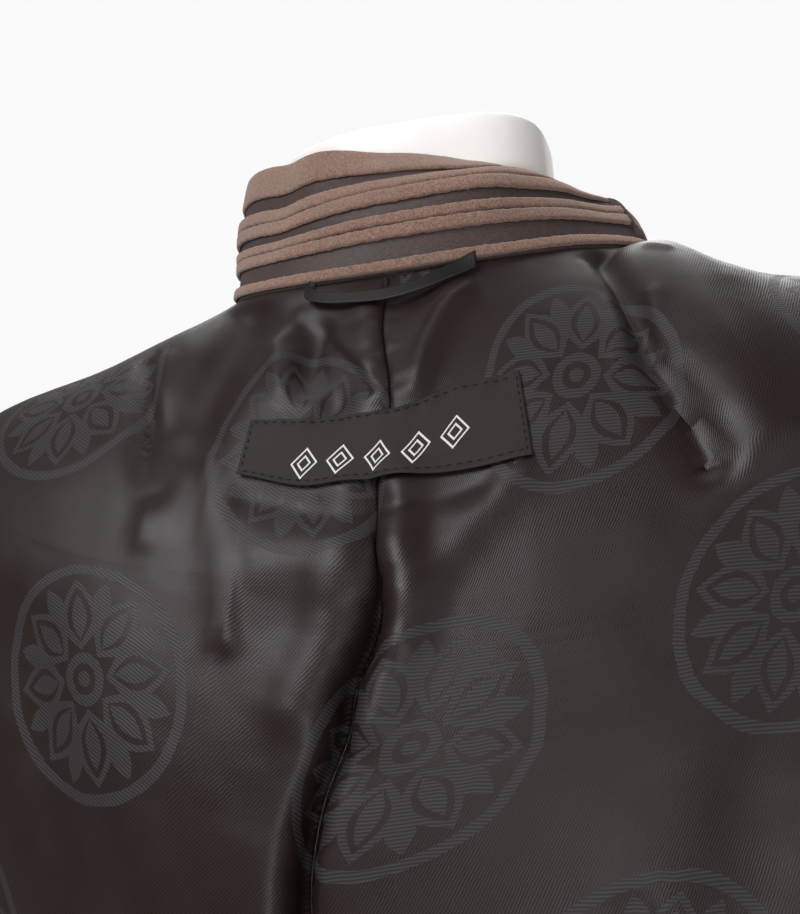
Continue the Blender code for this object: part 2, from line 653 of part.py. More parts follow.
def make_trousers():
    """Four trouser panels, the waistband on the form's waist, the fly and the button."""
    heights = np.array(TROUSER_ROWS)[:, None]
    for side_name, side in SIDE_NAMES.items():
        mirror = np.array([side, 1, 1])
        for part, direction in (("front", 1), ("back", -1)):
            start = SIDE_GAP_ANGLE
            turns = direction * (start + (trouser_end(heights) - start) * np.linspace(0, 1, 7))
            outer, inner = wall_of(trouser, *np.broadcast_arrays(turns, heights))
            outer[..., 0] = np.maximum(outer[..., 0], SEAM / 2)
            inner[..., 0] = np.maximum(inner[..., 0], SEAM / 2)
            make_wall(f"trouser_{part}_{side_name}", (outer * mirror, inner * mirror), "wool")
    rows = np.array([WAISTBAND_BOTTOM, WAISTBAND_TOP])[:, None]
    grid = np.broadcast_arrays(FORM_ANGLES[None, :], rows)
    make_wall("waistband", layer(form_low, *grid, FORM_GAP, CLOTH, -1), "wool", ring=True)
    rows = np.array([row for row in TROUSER_ROWS if row > FLY_BOTTOM])[:, None]
    end = trouser_end(rows) - SIDE_GAP_ANGLE
    turns = np.hstack([end - FLY_TURN, end])
    make_wall("fly", layer(trouser, *np.broadcast_arrays(turns, rows), FLY_LIFT, CLOTH / 2), "wool")
    face = form_low(math.pi, (WAISTBAND_TOP + WAISTBAND_BOTTOM) / 2)
    bpy.ops.mesh.primitive_cylinder_add(vertices=16, radius=BUTTON_RADIUS, depth=BUTTON_DEPTH)
    button = bpy.context.object
    button.rotation_euler = (math.pi / 2, 0, 0)
    front = float(face[1]) - FORM_GAP - CLOTH - SEAM
    button.location = (0.0, front - BUTTON_DEPTH / 2, float(face[2]))
    place_primitive(button, "waist_button", "button")


def place_primitive(piece, name, material):
    """Moves a primitive from the scene's collection to the part's, with its own material."""
    for home in list(piece.users_collection):
        home.objects.unlink(piece)
    collection.objects.link(piece)
    piece.name = name
    piece.data.name = name
    piece.data.materials.append(new_material(material))
    piece.data.shade_smooth()
    piece.data.set_sharp_from_angle(angle=SHARP)


FORM_ANGLES = np.radians([0, 15, 30, 45, 60, 70, 80, 90, 100, 110, 120, 135, 150, 165,
                          180, 195, 210, 225, 240, 250, 260, 270, 280, 290, 300, 315, 330, 345])
FORM_LEVELS = [4.5, 3.5, 3.0, 2.5, 2.0, 1.75, 1.49, 1.28, 1.06, 0.85, 0.6, 0.35]


def form_low(angle, height):
    """The form from its bottom to its ribs."""
    angle, height = np.broadcast_arrays(np.asarray(angle, float), np.asarray(height, float))
    half, front, back = read(FORM_RINGS, height)
    sine, cosine = np.sin(angle), np.cos(angle)
    x = -half * np.sign(sine) * np.abs(sine) ** BODY_SQUARE
    y = np.where(cosine >= 0, back, -front) * np.abs(cosine) ** BODY_SQUARE
    return np.stack([x, y, height], -1)


def form_high(level):
    """A ring of the form inside the jacket."""
    level = np.full(FORM_ANGLES.shape, float(level))
    centred = np.where(FORM_ANGLES > math.pi, FORM_ANGLES - 2 * math.pi, FORM_ANGLES)
    at_back, at_side = read(FORM_CLEARANCE, level)
    side_share = smooth_step((np.abs(np.sin(centred)) - SIDE_SINE[0]) / SIDE_SINE[1])
    clearance = CLOTH + at_back + (at_side - at_back) * side_share
    return jacket_base(centred, level) - outward(jacket_base, centred, level) * clearance[:, None]


def neck_ring(height, inset):
    sine, cosine = np.sin(FORM_ANGLES), np.cos(FORM_ANGLES)
    x = NECK_CENTRE[0] - (NECK_HALF[0] - inset) * sine
    y = NECK_CENTRE[1] + (NECK_HALF[1] - inset) * cosine
    return np.stack([x, y, np.full(x.shape, height)], -1)


def make_form():
    """Torso and neck in one solid, on a pole that runs down inside the left trouser leg."""
    rings = [form_low(FORM_ANGLES, row) for row in FORM_ROWS]
    rings += [form_high(level) for level in FORM_LEVELS]
    centred = np.where(FORM_ANGLES > math.pi, FORM_ANGLES - 2 * math.pi, FORM_ANGLES)
    seam = jacket_base(centred, 0 * centred)
    middle = np.array([*NECK_CENTRE, 0])
    inward = (middle - seam) * np.array([1, 1, 0])
    inward /= np.linalg.norm(inward, axis=-1, keepdims=True)
    foot = seam + inward * NECK_FOOT_INSET - np.array([0, 0, NECK_FOOT_DROP])
    neck = neck_ring(NECK_BASE, 0)
    rings += [foot, foot + (neck - foot) * NECK_CURVE]
    rings += [neck, neck_ring(NECK_TOP - NECK_EDGE, 0)]
    rings += [neck_ring(NECK_TOP - NECK_EDGE * 0.3, NECK_EDGE * 0.3), neck_ring(NECK_TOP, NECK_EDGE)]
    make_loft("form_body", rings, "form cover")

    top = FORM_ROWS[0] - SEAM
    bottom = BASE_HEIGHT + SEAM
    bpy.ops.mesh.primitive_cylinder_add(vertices=20, radius=POLE_RADIUS, depth=top - bottom)
    pole = bpy.context.object
    pole.location = (POLE_X, 0, (top + bottom) / 2)
    place_primitive(pole, "form_pole", "form metal")

    bpy.ops.mesh.primitive_cylinder_add(vertices=48, radius=BASE_RADIUS, depth=BASE_HEIGHT)
    base = bpy.context.object
    base.location = (BASE_X, 0, BASE_HEIGHT / 2)
    edge = base.modifiers.new("edge", "BEVEL")
    edge.width = BASE_EDGE
    edge.segments = 2
    edge.limit_method = "ANGLE"
    place_primitive(base, "form_base", "form metal")


for old in list(bpy.data.objects):
    bpy.data.objects.remove(old, do_unlink=True)
collection = bpy.data.collections.new("Pantsuit")
bpy.context.scene.collection.children.link(collection)

for side_name, side in SIDE_NAMES.items():
    make_back(side_name, side)
    make_front(side_name, side)
    make_facing(side_name, side)
    make_hem(side_name, side)
    make_sleeve(side_name, side)
make_collar()
make_trims()
make_trousers()
make_form()
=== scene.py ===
"""The looks of a pantsuit on a limbless dress form, in metres, +Z up, its front facing -Y.

Each piece of cloth is built again from the same surface as its solid, with a finer grid, finer
creases and rolled seams, as a thin wall. Cloth coordinates (the UV map) are in metres on the cloth.
Angles run round the body from the centre back, positive towards the wearer's right (-X).
"""

import math

import bpy
import numpy as np
from mathutils import Matrix, Vector


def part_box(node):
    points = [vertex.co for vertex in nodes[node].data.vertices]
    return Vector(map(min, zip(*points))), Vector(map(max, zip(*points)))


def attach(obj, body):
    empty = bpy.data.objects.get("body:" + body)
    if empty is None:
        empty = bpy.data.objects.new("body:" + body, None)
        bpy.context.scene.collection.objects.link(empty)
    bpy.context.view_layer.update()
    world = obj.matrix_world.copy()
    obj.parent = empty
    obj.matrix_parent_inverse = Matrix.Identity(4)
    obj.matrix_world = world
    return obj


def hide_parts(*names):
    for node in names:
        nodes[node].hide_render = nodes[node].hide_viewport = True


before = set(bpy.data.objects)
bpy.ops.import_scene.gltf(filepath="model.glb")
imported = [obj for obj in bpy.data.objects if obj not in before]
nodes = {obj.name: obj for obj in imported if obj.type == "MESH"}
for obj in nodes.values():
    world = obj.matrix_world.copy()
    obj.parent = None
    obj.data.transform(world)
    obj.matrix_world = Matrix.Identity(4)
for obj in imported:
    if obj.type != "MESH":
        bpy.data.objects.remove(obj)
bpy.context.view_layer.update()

# Sizes
THIN = 0.0011            # visible thickness of the lining
WOOL_THICK = 0.0013
EDGE_SHARE = 0.49        # radius of a cloth's rounded edge, as a share of its thickness
SEAM = 0.0003
HALF_GAP = 0.00004       # from the middle of a visible seam to the cloth
BODY_SQUARE = 0.85
BACK_DROP = 1.6
SIDE_GAP = (SEAM / 2 / 0.10) ** (1 / BODY_SQUARE)  # half a seam's width as a turn, at the side
FACING_GAP = SEAM / 2 / 0.15                       # and at the facing
UPRIGHT = np.array([0, 0, 1.0])
FACING_WIDTH = 0.070
LABEL_LEVELS = (1.10, 1.535)
LABEL_TOP_HALF = 0.0425
LABEL_BOTTOM_HALF = 0.0455
LABEL_MIDDLE = (0.0450, 0.0158)  # middle of its row of lozenges, from its corner
LABEL_STITCH_ROWS = (0.055, 0.915)
LABEL_STITCH_COLUMNS = (0.013, 0.987)
LABEL_LEFT_RISE = 0.09   # how much its left end is shorter, and its right end higher, in levels
LABEL_RIGHT_RISE = 0.10
LABEL_ASIDE = 0.0008
LABEL_FOLLOWS = 0.6      # share of the lining's creases that the label follows
LABEL_TOP_LIFT = (0.0004, 0.0030)   # these are a height and how far it reaches
LABEL_LOW_LIFT = (0.0007, 0.0035)
LABEL_SINK = (0.0003, 0.035)
LABEL_PUCKER = (0.00022, 0.0045)
LABEL_PUCKER_LENGTH = 0.0083
LABEL_OVER_SEAM = (0.0012, 0.006)
LOZENGES = (0.0116, 0.0044, 0.0054, 0.00042)  # pitch, half width, half height, half line width
LABEL_LIFT = 0.0006
LABEL_THICKNESS = 0.0006
COLLAR_CLOTH = 0.0022
COLLAR_END = 165
COLLAR_HEIGHT = 0.0519
COLLAR_DROP = 0.137      # how much lower the collar stands towards the left front
COLLAR_DROP_FROM = -52
COLLAR_DROP_SPREAD = 57
COLLAR_STEPS = 40        # steps in which the collar's curve is walked upwards
BAND_CLOTH = 0.0014
BAND_STEP = 0.0006       # grid step across a band
BAND_GROOVE = 0.0010
BAND_CROWN = 0.00045
BAND_GAP = 0.00008
RAGGED = 0.00013
FOLD_SPAN = 0.015
FRONT_FOOT_LIFT = 0.0003
LEVEL_STEP = 0.001
FOLDS_START = 0.15       # the folds grow from the neck down, and die out towards the side seam
FOLDS_STOP = 0.25
ARMHOLE_BACK = 26
ARMHOLE_FRONT = 34
UPPER_SLEEVE_REACH = 100
SLEEVE_HEAD = 2          # station at which the sleeve has its own rings
LINING_END = 7.6992      # levels at the hem seam, and at the hem
HEM_START = 7.7008
HEM = 8.0
CUFF_LEVEL = 8.0         # stations at the cuff's seam, its start and its end
CUFF_START = 8.004
CUFF_END = 9.0
LOOP_WIDTH = 0.0060
LOOP_THICKNESS = 0.0007
LOOP_LIFT = 0.0008
WAISTBAND_TOP = 1.050
WAISTBAND_BOTTOM = 1.015
FORM_GAP = 0.0004
FLY_TOP = 0.970
FLY_BOTTOM = 0.850
FLY_BEND = 0.872         # below this its edge turns in
FLY_ASIDE = 0.0012
FLY_TURN = math.radians(13)
FLY_THICK = 0.0010
FLY_LIFT = 0.0014
PRESSED = (0.0022, 0.0030)     # pressed crease of the trousers: height, reach
PRESSED_AT = 0.0955
PRESSED_FROM = 0.93
ROLL_DEPTH = 0.0008      # how far a seam's edges turn in
ROLL_WIDTH = 0.0011
FIRST_STEP = 0.0003      # grid step beside an edge
FLAT_NET = 30            # rows and columns of the net that lays a piece flat
FLAT_ROUNDS = 500
FLAT_HASTE = 1.6
# Waves of the unevenness: direction, phase
WAVES = [
    (1.0, 0.3, 0.5, 0.4), (-0.6, 0.8, 0.9, 2.1), (0.4, -0.7, 1.3, 4.0),
    (1.7, 0.5, -0.8, 1.2), (-1.3, 0.2, 1.9, 5.3), (0.8, 1.1, -2.1, 3.3),
]
# Grid of each piece: length, largest step
GRIDS = {
    "beside the seam": (0.045, 0.0014),
    "back": (0.16, 0.0030),
    "front": (0.12, 0.0035),
    "facing": (0.07, 0.0035),
    "hem": (0.30, 0.0035),
    "hem rows": (0.030, 0.0035),
    "upper": (0.13, 0.0032),
    "under": (0.10, 0.0032),
    "sleeve rows": (0.52, 0.0050),
    "cuff rows": (0.035, 0.003),
    "collar rows": (COLLAR_HEIGHT, 0.0011),
    "loop": (0.066, 0.0008),
    "loop rows": (LOOP_WIDTH, 0.0006),
    "label": (0.090, 0.0012),
    "label rows": (0.026, 0.0009),
    "trouser": (0.22, 0.0045),
    "trouser rows": (0.978, 0.0070),
    "waistband rows": (0.035, 0.003),
    "fly": (0.030, 0.002),
}
# Rows of the jacket: level down to which they are fine, fine step, coarse step
LEVEL_STEPS = {"back": (3.75, 0.030, 0.075), "front": (0.1, 0.03, 0.07)}
NEAR_NECK = [0, 0.005, 0.011, 0.018]
NEAR_BOTTOM = [0, 0.003, 0.007, 0.012, 0.02]   # measured from the bottom
LEAST_STEP = 0.0024
FORM_SIDES = 96
FORM_STEP = 0.006
# Soft bumps of each piece: length, height
RIPPLES = {
    "back": [(0.055, 0.0004), (0.021, 0.00010)],
    "front": [(0.060, 0.0006), (0.023, 0.00012)],
    "facing": [(0.070, 0.0006)],
    "hem": [(0.060, 0.0005)],
    "sleeve": [(0.060, 0.0006), (0.024, 0.00015)],
    "cuff": [(0.050, 0.0004)],
    "collar": [(0.030, 0.00012)],
    "band": [(0.012, 0.00010)],
    "label": [(0.028, 0.00035)],
    "leg": [(0.085, 0.0014)],
    "trouser": [(0.034, 0.0003)],
    "waistband": [(0.050, 0.0003)],
}
# Stitches: length, gap; then the radius of their thread
COLLAR_STITCH = (0.0019, 0.0007)
LABEL_STITCH = (0.0021, 0.0010)
LABEL_END_STITCH = (0.0018, 0.0009)
WOOL_THREAD = 0.00028
LABEL_THREAD = 0.00024

# Jacket rings: level, half width, side y, back y, front y, back z, side z, front z
JACKET_RINGS = [
    (0.0, 0.070, 0.004, 0.062, -0.072, 1.440, 1.448, 1.385),
    (1.0, 0.118, 0.004, 0.088, -0.094, 1.396, 1.434, 1.350),
    (2.0, 0.185, 0.002, 0.108, -0.112, 1.345, 1.411, 1.305),
    (3.0, 0.194, 0.000, 0.121, -0.124, 1.290, 1.330, 1.262),
    (4.0, 0.186, 0.000, 0.124, -0.130, 1.235, 1.250, 1.220),
    (5.0, 0.170, 0.000, 0.116, -0.124, 1.140, 1.145, 1.135),
    (6.0, 0.156, 0.000, 0.105, -0.114, 1.040, 1.040, 1.040),
    (7.0, 0.184, 0.000, 0.124, -0.126, 0.920, 0.920, 0.920),
    (8.0, 0.200, 0.000, 0.134, -0.134, 0.820, 0.820, 0.820),
]
FRONT_GAP = [(0.0, 0.018), (2.0, 0.022), (4.0, 0.030), (6.0, 0.035), (8.0, 0.055)]
NECK_FLARE = 0.23
NECK_FLARE_FROM = 55
NECK_FLARE_SPREAD = 55
# Centre-back seam: height, x of the seam, depth of the pleat it falls into
BACK_SEAM = [
    (0.810, 0.004, 0.0000),
    (0.950, 0.010, 0.0020),
    (1.100, 0.023, 0.0050),
    (1.200, 0.027, 0.0080),
    (1.265, 0.028, 0.0100),
    (1.281, 0.0235, 0.0098),
    (1.299, 0.0150, 0.0090),
    (1.3125, 0.0115, 0.0080),
    (1.326, 0.0045, 0.0064),
    (1.340, 0.0010, 0.0045),
    (1.355, 0.0020, 0.0026),
    (1.370, 0.0020, 0.0010),
    (1.393, -0.0020, 0.0004),
    (1.423, 0.0015, 0.0003),
    (1.441, 0.0010, 0.0000),
]
PLEAT_WIDTH = 0.0045
PLEAT_BOTTOM = (0.20, 0.0026)  # share of the pleat's depth that its sharp bottom adds, its width
PUCKER_LENGTHS = (0.0125, 0.0071)
PUCKER = (0.00042, 0.006)      # height, reach
PUCKER_START = 0.0015
FULLNESS = (0.0012, 0.008)     # of the sleeve's head: height, reach
FULLNESS_LENGTH = 0.021

# Large folds: half width, height (minus for a trough), then the line it follows as x and z
BACK_FOLDS = [
    (0.0075, -0.0035, [(0.031, 1.428), (0.024, 1.412), (0.017, 1.397)]),
    (0.0060, 0.0020, [(0.008, 1.430), (0.005, 1.413), (0.004, 1.398)]),
    (0.0070, 0.0025, [(-0.021, 1.427), (-0.014, 1.412), (-0.006, 1.398)]),
    (0.0050, -0.0060, [
        (-0.067, 1.440), (-0.076, 1.4165), (-0.082, 1.3975), (-0.0885, 1.382), (-0.094, 1.366)]),
    (0.0130, 0.0060, [(-0.086, 1.438), (-0.096, 1.420), (-0.104, 1.397), (-0.111, 1.372)]),
    (0.0120, -0.0030, [(0.050, 1.428), (0.059, 1.411), (0.078, 1.400)]),
    (0.0060, -0.0035, [(0.091, 1.424), (0.083, 1.400), (0.077, 1.376)]),
    (0.0085, 0.0024, [(0.012, 1.366), (0.013, 1.348), (0.018, 1.326), (0.027, 1.308)]),
    (0.0070, 0.0032, [(-0.005, 1.366), (-0.0055, 1.346), (-0.0045, 1.323), (0.004, 1.303)]),
    (0.0180, -0.0060, [(0.085, 1.170), (0.070, 1.080), (0.080, 0.960)]),
    (0.0180, -0.0060, [(-0.075, 1.190), (-0.060, 1.090), (-0.078, 0.950)]),
    (0.0160, -0.0040, [(-0.120, 1.330), (-0.095, 1.270), (-0.085, 1.215)]),
    (0.0160, -0.0040, [(0.125, 1.330), (0.105, 1.270), (0.098, 1.210)]),
]
FRONT_FOLDS = [
    (0.0170, -0.0050, [(0.115, 1.300), (0.098, 1.230), (0.095, 1.160)]),
    (0.0170, -0.0050, [(-0.118, 1.310), (-0.102, 1.240), (-0.096, 1.150)]),
    (0.0160, -0.0050, [(0.110, 1.120), (0.100, 1.020), (0.115, 0.900)]),
    (0.0160, -0.0050, [(-0.106, 1.130), (-0.098, 1.030), (-0.112, 0.910)]),
]
# Fine creases of the back, laid over the large folds: the same columns
BACK_CREASES = {
    "rim of the hollow under the loop": (0.0040, 0.0018, [
        (0.031, 1.430), (0.0385, 1.420), (0.034, 1.4045), (0.022, 1.3975)]),
    "hollow under the loop": (0.0045, -0.0024, [(0.0235, 1.423), (0.0265, 1.413), (0.0270, 1.403)]),
    "crease down to the label": (0.0022, -0.0016, [(0.0196, 1.4172), (0.0119, 1.4085), (0.0052, 1.3993)]),
    "edge of the flat right of the seam": (0.0030, 0.0014, [
        (-0.0258, 1.4321), (-0.0169, 1.4209), (-0.0128, 1.4103), (-0.0106, 1.3989)]),
    "left shoulder trough": (0.0110, -0.0042, [(0.0545, 1.4314), (0.0617, 1.4171), (0.0645, 1.396)]),
    "upright ridge by the left armhole": (0.0040, 0.0018, [
        (0.0864, 1.424), (0.0791, 1.3998), (0.0771, 1.379), (0.0758, 1.360)]),
    "line by the left armhole": (0.0015, -0.0010, [(0.095, 1.4247), (0.085, 1.4009), (0.081, 1.3795)]),
    "ridge below the label's left end": (0.0040, 0.0018, [
        (0.056, 1.3833), (0.0519, 1.3639), (0.0491, 1.3452), (0.0472, 1.3278)]),
    "hollow under the label, left": (0.0050, -0.0016, [(0.0419, 1.3700), (0.0253, 1.3640), (0.0095, 1.3615)]),
    "hollow under the label, right": (0.0045, -0.0014, [
        (-0.0029, 1.3620), (-0.0151, 1.3635), (-0.0285, 1.3655)]),
    "swell left of the pleat": (0.0120, 0.0030, [(0.0375, 1.3505), (0.0229, 1.3491), (0.0079, 1.3455)]),
    "swell right of the pleat": (0.0080, 0.0018, [(-0.003, 1.3500), (-0.007, 1.3380)]),
    "long fold right of the pleat": (0.0065, 0.0019, [
        (-0.0408, 1.3684), (-0.0258, 1.3556), (-0.0131, 1.3398), (-0.0062, 1.3239)]),
    "lip of the right crease": (0.0025, 0.0014, [
        (-0.0627, 1.4375), (-0.0683, 1.425), (-0.0709, 1.4115), (-0.0714, 1.3994)]),
    "streak right of the crease": (0.0020, 0.0010, [(-0.0823, 1.422), (-0.0837, 1.4087), (-0.085, 1.3946)]),
    "streak on the right shoulder": (0.0015, 0.0009, [(-0.0817, 1.4428), (-0.0886, 1.4407)]),
    "left waist crease": (0.0060, -0.0020, [(0.110, 1.090), (0.070, 1.060), (0.040, 1.066)]),
    "right waist crease": (0.0060, -0.0018, [(-0.105, 1.075), (-0.072, 1.050), (-0.035, 1.061)]),
    "left skirt fold": (0.0070, 0.0020, [(0.060, 1.010), (0.068, 0.930), (0.074, 0.850)]),
    "right skirt fold": (0.0070, 0.0020, [(-0.052, 1.000), (-0.066, 0.920), (-0.070, 0.850)]),
    "right blade crease": (0.0050, -0.0016, [(-0.060, 1.250), (-0.085, 1.215), (-0.110, 1.160)]),
    "left blade crease": (0.0050, -0.0016, [(0.075, 1.240), (0.098, 1.200), (0.120, 1.150)]),
}
FRONT_CREASES = {
    "left armpit crease": (0.0050, -0.0018, [(0.150, 1.255), (0.125, 1.235), (0.105, 1.200)]),
    "right armpit crease": (0.0050, -0.0018, [(-0.152, 1.260), (-0.128, 1.238), (-0.108, 1.205)]),
    "left waist crease": (0.0050, -0.0016, [(0.120, 1.070), (0.090, 1.045), (0.075, 1.050)]),
    "right waist crease": (0.0050, -0.0016, [(-0.118, 1.080), (-0.090, 1.056), (-0.076, 1.060)]),
    "left skirt fold": (0.0070, 0.0020, [(0.095, 1.000), (0.100, 0.930), (0.104, 0.850)]),
    "right skirt fold": (0.0070, 0.0020, [(-0.092, 1.010), (-0.098, 0.930), (-0.101, 0.850)]),
}

# Collar: angle, lean inwards in degrees, how far its top rolls in, height of the roll in metres
COLLAR_SECTIONS = [
    (-165, -9, 26, 0.0272),
    (-110, -6, 24, 0.0272),
    (-85, 2.5, 14.5, 0.0272),
    (-60, 19.5, -3, 0.0272),
    (-40, 22.5, -5, 0.0272),
    (-20, 13.5, 6, 0.0272),
    (0, 2, 41.5, 0.0272),
    (20, 0.5, 60, 0.0272),
    (40, 15.5, 58, 0.0310),
    (60, 24, 76.5, 0.0306),
    (80, 31, 101, 0.0279),
    (100, 18, 127.5, 0.0221),
    (130, 5, 149.5, 0.0221),
    (165, -6.5, 169.5, 0.0221),
]
COLLAR_BANDS = {
    "collar_band_seam": (0.0006, 0.0047),
    "collar_band_lower_a": (0.0115, 0.0163),
    "collar_band_lower_b": (0.0163, 0.0202),
    "collar_band_upper_a": (0.0238, 0.0291),
    "collar_band_upper_b": (0.0291, 0.0342),
    "collar_band_top": (0.0397, COLLAR_HEIGHT),
}
# Sleeve rings: station, centre x, centre y, centre z, half width front to back, half depth, tilt
SLEEVE_RINGS = [
    (0, 0.1880, 0.000, 1.3300, 0.0670, 0.0820, 8.0),
    (1, 0.2090, 0.000, 1.3090, 0.0740, 0.0765, 15.0),
    (2, 0.2250, 0.000, 1.2760, 0.0760, 0.0630, 31.0),
    (3, 0.2335, -0.002, 1.2335, 0.0760, 0.0480, 53.5),
    (4, 0.2370, -0.004, 1.1825, 0.0760, 0.0397, 79.0),
    (5, 0.2380, -0.007, 1.1200, 0.0740, 0.0370, 90.0),
    (6, 0.2375, -0.012, 1.0500, 0.0700, 0.0345, 90.0),
    (7, 0.2365, -0.020, 0.9500, 0.0660, 0.0315, 90.0),
    (8, 0.2365, -0.026, 0.8700, 0.0630, 0.0300, 90.0),
    (9, 0.2365, -0.028, 0.8350, 0.0620, 0.0295, 90.0),
]
# Sleeve creases: half width, height, then the line it follows as y and z, on the back or front half
SLEEVE_CREASES = [
    (0.0080, -0.0022, [(0.070, 1.170), (0.040, 1.130), (0.010, 1.115)]),
    (0.0070, -0.0020, [(0.066, 1.090), (0.036, 1.072), (0.000, 1.078)]),
    (0.0060, -0.0016, [(-0.078, 1.120), (-0.052, 1.092), (-0.020, 1.086)]),
    (0.0060, -0.0015, [(-0.076, 1.060), (-0.050, 1.046), (-0.016, 1.052)]),
    (0.0080, 0.0020, [(0.055, 1.240), (0.048, 1.180), (0.052, 1.120)]),
    (0.0080, 0.0018, [(-0.052, 1.230), (-0.060, 1.160), (-0.058, 1.100)]),
    (0.0070, -0.0016, [(0.050, 0.990), (0.020, 0.960), (-0.020, 0.955)]),
]
# Trouser rings: height, centre x, half width, front depth, back depth
TROUSER_RINGS = [
    (0.036, 0.0970, 0.0490, 0.088, 0.090),
    (0.120, 0.0970, 0.0500, 0.088, 0.090),
    (0.300, 0.0960, 0.0520, 0.090, 0.092),
    (0.480, 0.0950, 0.0580, 0.092, 0.096),
    (0.600, 0.0940, 0.0700, 0.096, 0.100),
    (0.700, 0.0920, 0.0800, 0.100, 0.104),
    (0.765, 0.0868, 0.0862, 0.104, 0.108),
    (0.810, 0.0450, 0.1290, 0.106, 0.114),
    (0.860, 0.0120, 0.1600, 0.106, 0.118),
    (0.920, 0.0000, 0.1660, 0.104, 0.114),
    (0.970, 0.0000, 0.1500, 0.098, 0.106),
    (1.016, 0.0000, 0.1305, 0.0945, 0.0885),
]
TROUSER_BOTTOM = 0.036
TROUSER_TOP = 1.0147
TROUSER_START = 0.0009   # turn at which a panel starts beside the side seam
TROUSER_CLEAR = 0.00006
# Trouser creases: half width, height, then the line it follows as x and z
TROUSER_CREASES = [
    (0.0120, -0.0045, [(0.010, 0.815), (0.045, 0.795), (0.090, 0.800)]),
    (0.0100, -0.0036, [(0.020, 0.760), (0.060, 0.735), (0.110, 0.742)]),
    (0.0100, 0.0026, [(0.030, 0.778), (0.070, 0.765), (0.105, 0.772)]),
    (0.0140, -0.0040, [(0.150, 0.850), (0.120, 0.790), (0.112, 0.700)]),
    (0.0120, 0.0030, [(0.066, 0.720), (0.072, 0.640), (0.068, 0.560)]),
    (0.0140, -0.0034, [(0.125, 0.660), (0.120, 0.600), (0.128, 0.545)]),
    (0.0110, -0.0036, [(0.055, 0.520), (0.095, 0.500), (0.140, 0.512)]),
    (0.0100, -0.0032, [(0.060, 0.455), (0.100, 0.440), (0.138, 0.452)]),
    (0.0130, -0.0034, [(0.066, 0.410), (0.070, 0.330), (0.064, 0.250)]),
    (0.0120, 0.0028, [(0.126, 0.400), (0.122, 0.300), (0.128, 0.200)]),
    (0.0090, -0.0034, [(0.055, 0.120), (0.095, 0.098), (0.140, 0.110)]),
    (0.0080, -0.0028, [(0.058, 0.070), (0.090, 0.062), (0.130, 0.074)]),
]
# Hanger loop: share along it, centre x, y, z, lean of its width from upright in degrees
LOOP_PATH = [
    (0.00, 0.0262, 0.0598, 1.4420, 10),
    (0.06, 0.0288, 0.0618, 1.4395, 25),
    (0.14, 0.0280, 0.0640, 1.4370, 34),
    (0.25, 0.0225, 0.0664, 1.4345, 40),
    (0.42, 0.0120, 0.0692, 1.4325, 42),
    (0.60, 0.0000, 0.0702, 1.4318, 42),
    (0.77, -0.0120, 0.0685, 1.4340, 38),
    (0.90, -0.0215, 0.0652, 1.4378, 26),
    (1.00, -0.0285, 0.0624, 1.4408, 12),
]
# Dress form below the ribs: height, half width, front depth, back depth
FORM_RINGS = [
    (0.800, 0.1380, 0.078, 0.086),
    (0.820, 0.1500, 0.088, 0.097),
    (0.860, 0.1590, 0.094, 0.104),
    (0.920, 0.1550, 0.094, 0.102),
    (0.970, 0.1390, 0.089, 0.095),
    (1.015, 0.1280, 0.092, 0.086),
    (1.050, 0.1280, 0.092, 0.086),
    (1.090, 0.1400, 0.100, 0.092),
]
FORM_ROWS = [0.800, 0.806, 0.820, 0.860, 0.920, 0.970, 1.015, 1.050, 1.090]
FORM_LEVELS = [4.5, 3.5, 3.0, 2.5, 2.0, 1.75, 1.49, 1.28, 1.06, 0.85, 0.6, 0.35]
# How far the form stays inside the lining: level, at the back and front, at the shoulder line
FORM_CLEARANCE = [
    (0.0, 0.0060, 0.0060),
    (0.3, 0.0070, 0.0018),
    (0.55, 0.0080, 0.0009),
    (1.0, 0.0100, 0.0009),
    (1.5, 0.0120, 0.0009),
    (2.0, 0.0150, 0.0040),
    (3.0, 0.0170, 0.0130),
    (4.0, 0.0170, 0.0150),
    (5.0, 0.0150, 0.0150),
]
CLOTH = 0.002
NECK_CENTRE = (0.005, -0.005)
NECK_HALF = (0.0485, 0.0445)
NECK_RIGHT = 0.0060      # how much the neck grows on the wearer's right, and how square it gets there
NECK_SQUARE = 0.40
NECK_BASE = 1.468
NECK_GROWS = 0.010
NECK_FOOT_INSET = 0.007
NECK_FOOT_DROP = 0.006
NECK_CURVE = np.array([0.85, 0.85, 0.05])
NECK_TOP = 1.500
NECK_EDGE = 0.004
NECK_INSETS = (0.002, 0.010, 0.025)
# Button: distance from its middle, height of its face; as shares of its radius and depth
BUTTON_PROFILE = [
    (0.0, 0.30), (0.50, 0.30), (0.62, 0.36), (0.72, 0.50), (0.82, 0.50), (0.92, 0.42),
    (0.99, 0.20), (1.0, 0.0), (0.97, -0.35), (0.85, -0.50), (0.0, -0.50),
]
BUTTON_HOLE = 0.0017     # how far its holes stand from its middle, along each axis
BUTTON_FACE = 0.32
BUTTON_THREAD = 0.0003   # half the distance of threads that lie side by side
BUTTON_THREAD_RADIUS = 0.00035

# Woven motif of the lining: where its rows and columns stand on the cloth, and its size
MOTIF_FIRST = (0.030, 0.074)
MOTIF_PITCH = (0.108, 0.094)
MOTIF_RADIUS = 0.0370
MOTIF_DOT = 0.0024
MOTIF_RINGS = [(MOTIF_RADIUS - 0.0017, 0.0017), (0.0064, 0.0016)]  # radius, half width
# Outlined petals: inner radius, outer radius, half width, line, turn as a share of one petal
MOTIF_PETALS = [
    (0.0088, 0.0318, 0.0078, 0.0027, 0.0),
    (0.0120, 0.0270, 0.0030, 0.0040, 0.0),
    (0.0195, 0.0322, 0.0036, 0.0040, 0.5),
]
PETAL_COUNT = 8
FLOATS_LEAN = 0.28
FLOATS_PITCH = 0.0011
TWILL_PITCH = 0.00085
TWILL_LEAN = math.radians(58)

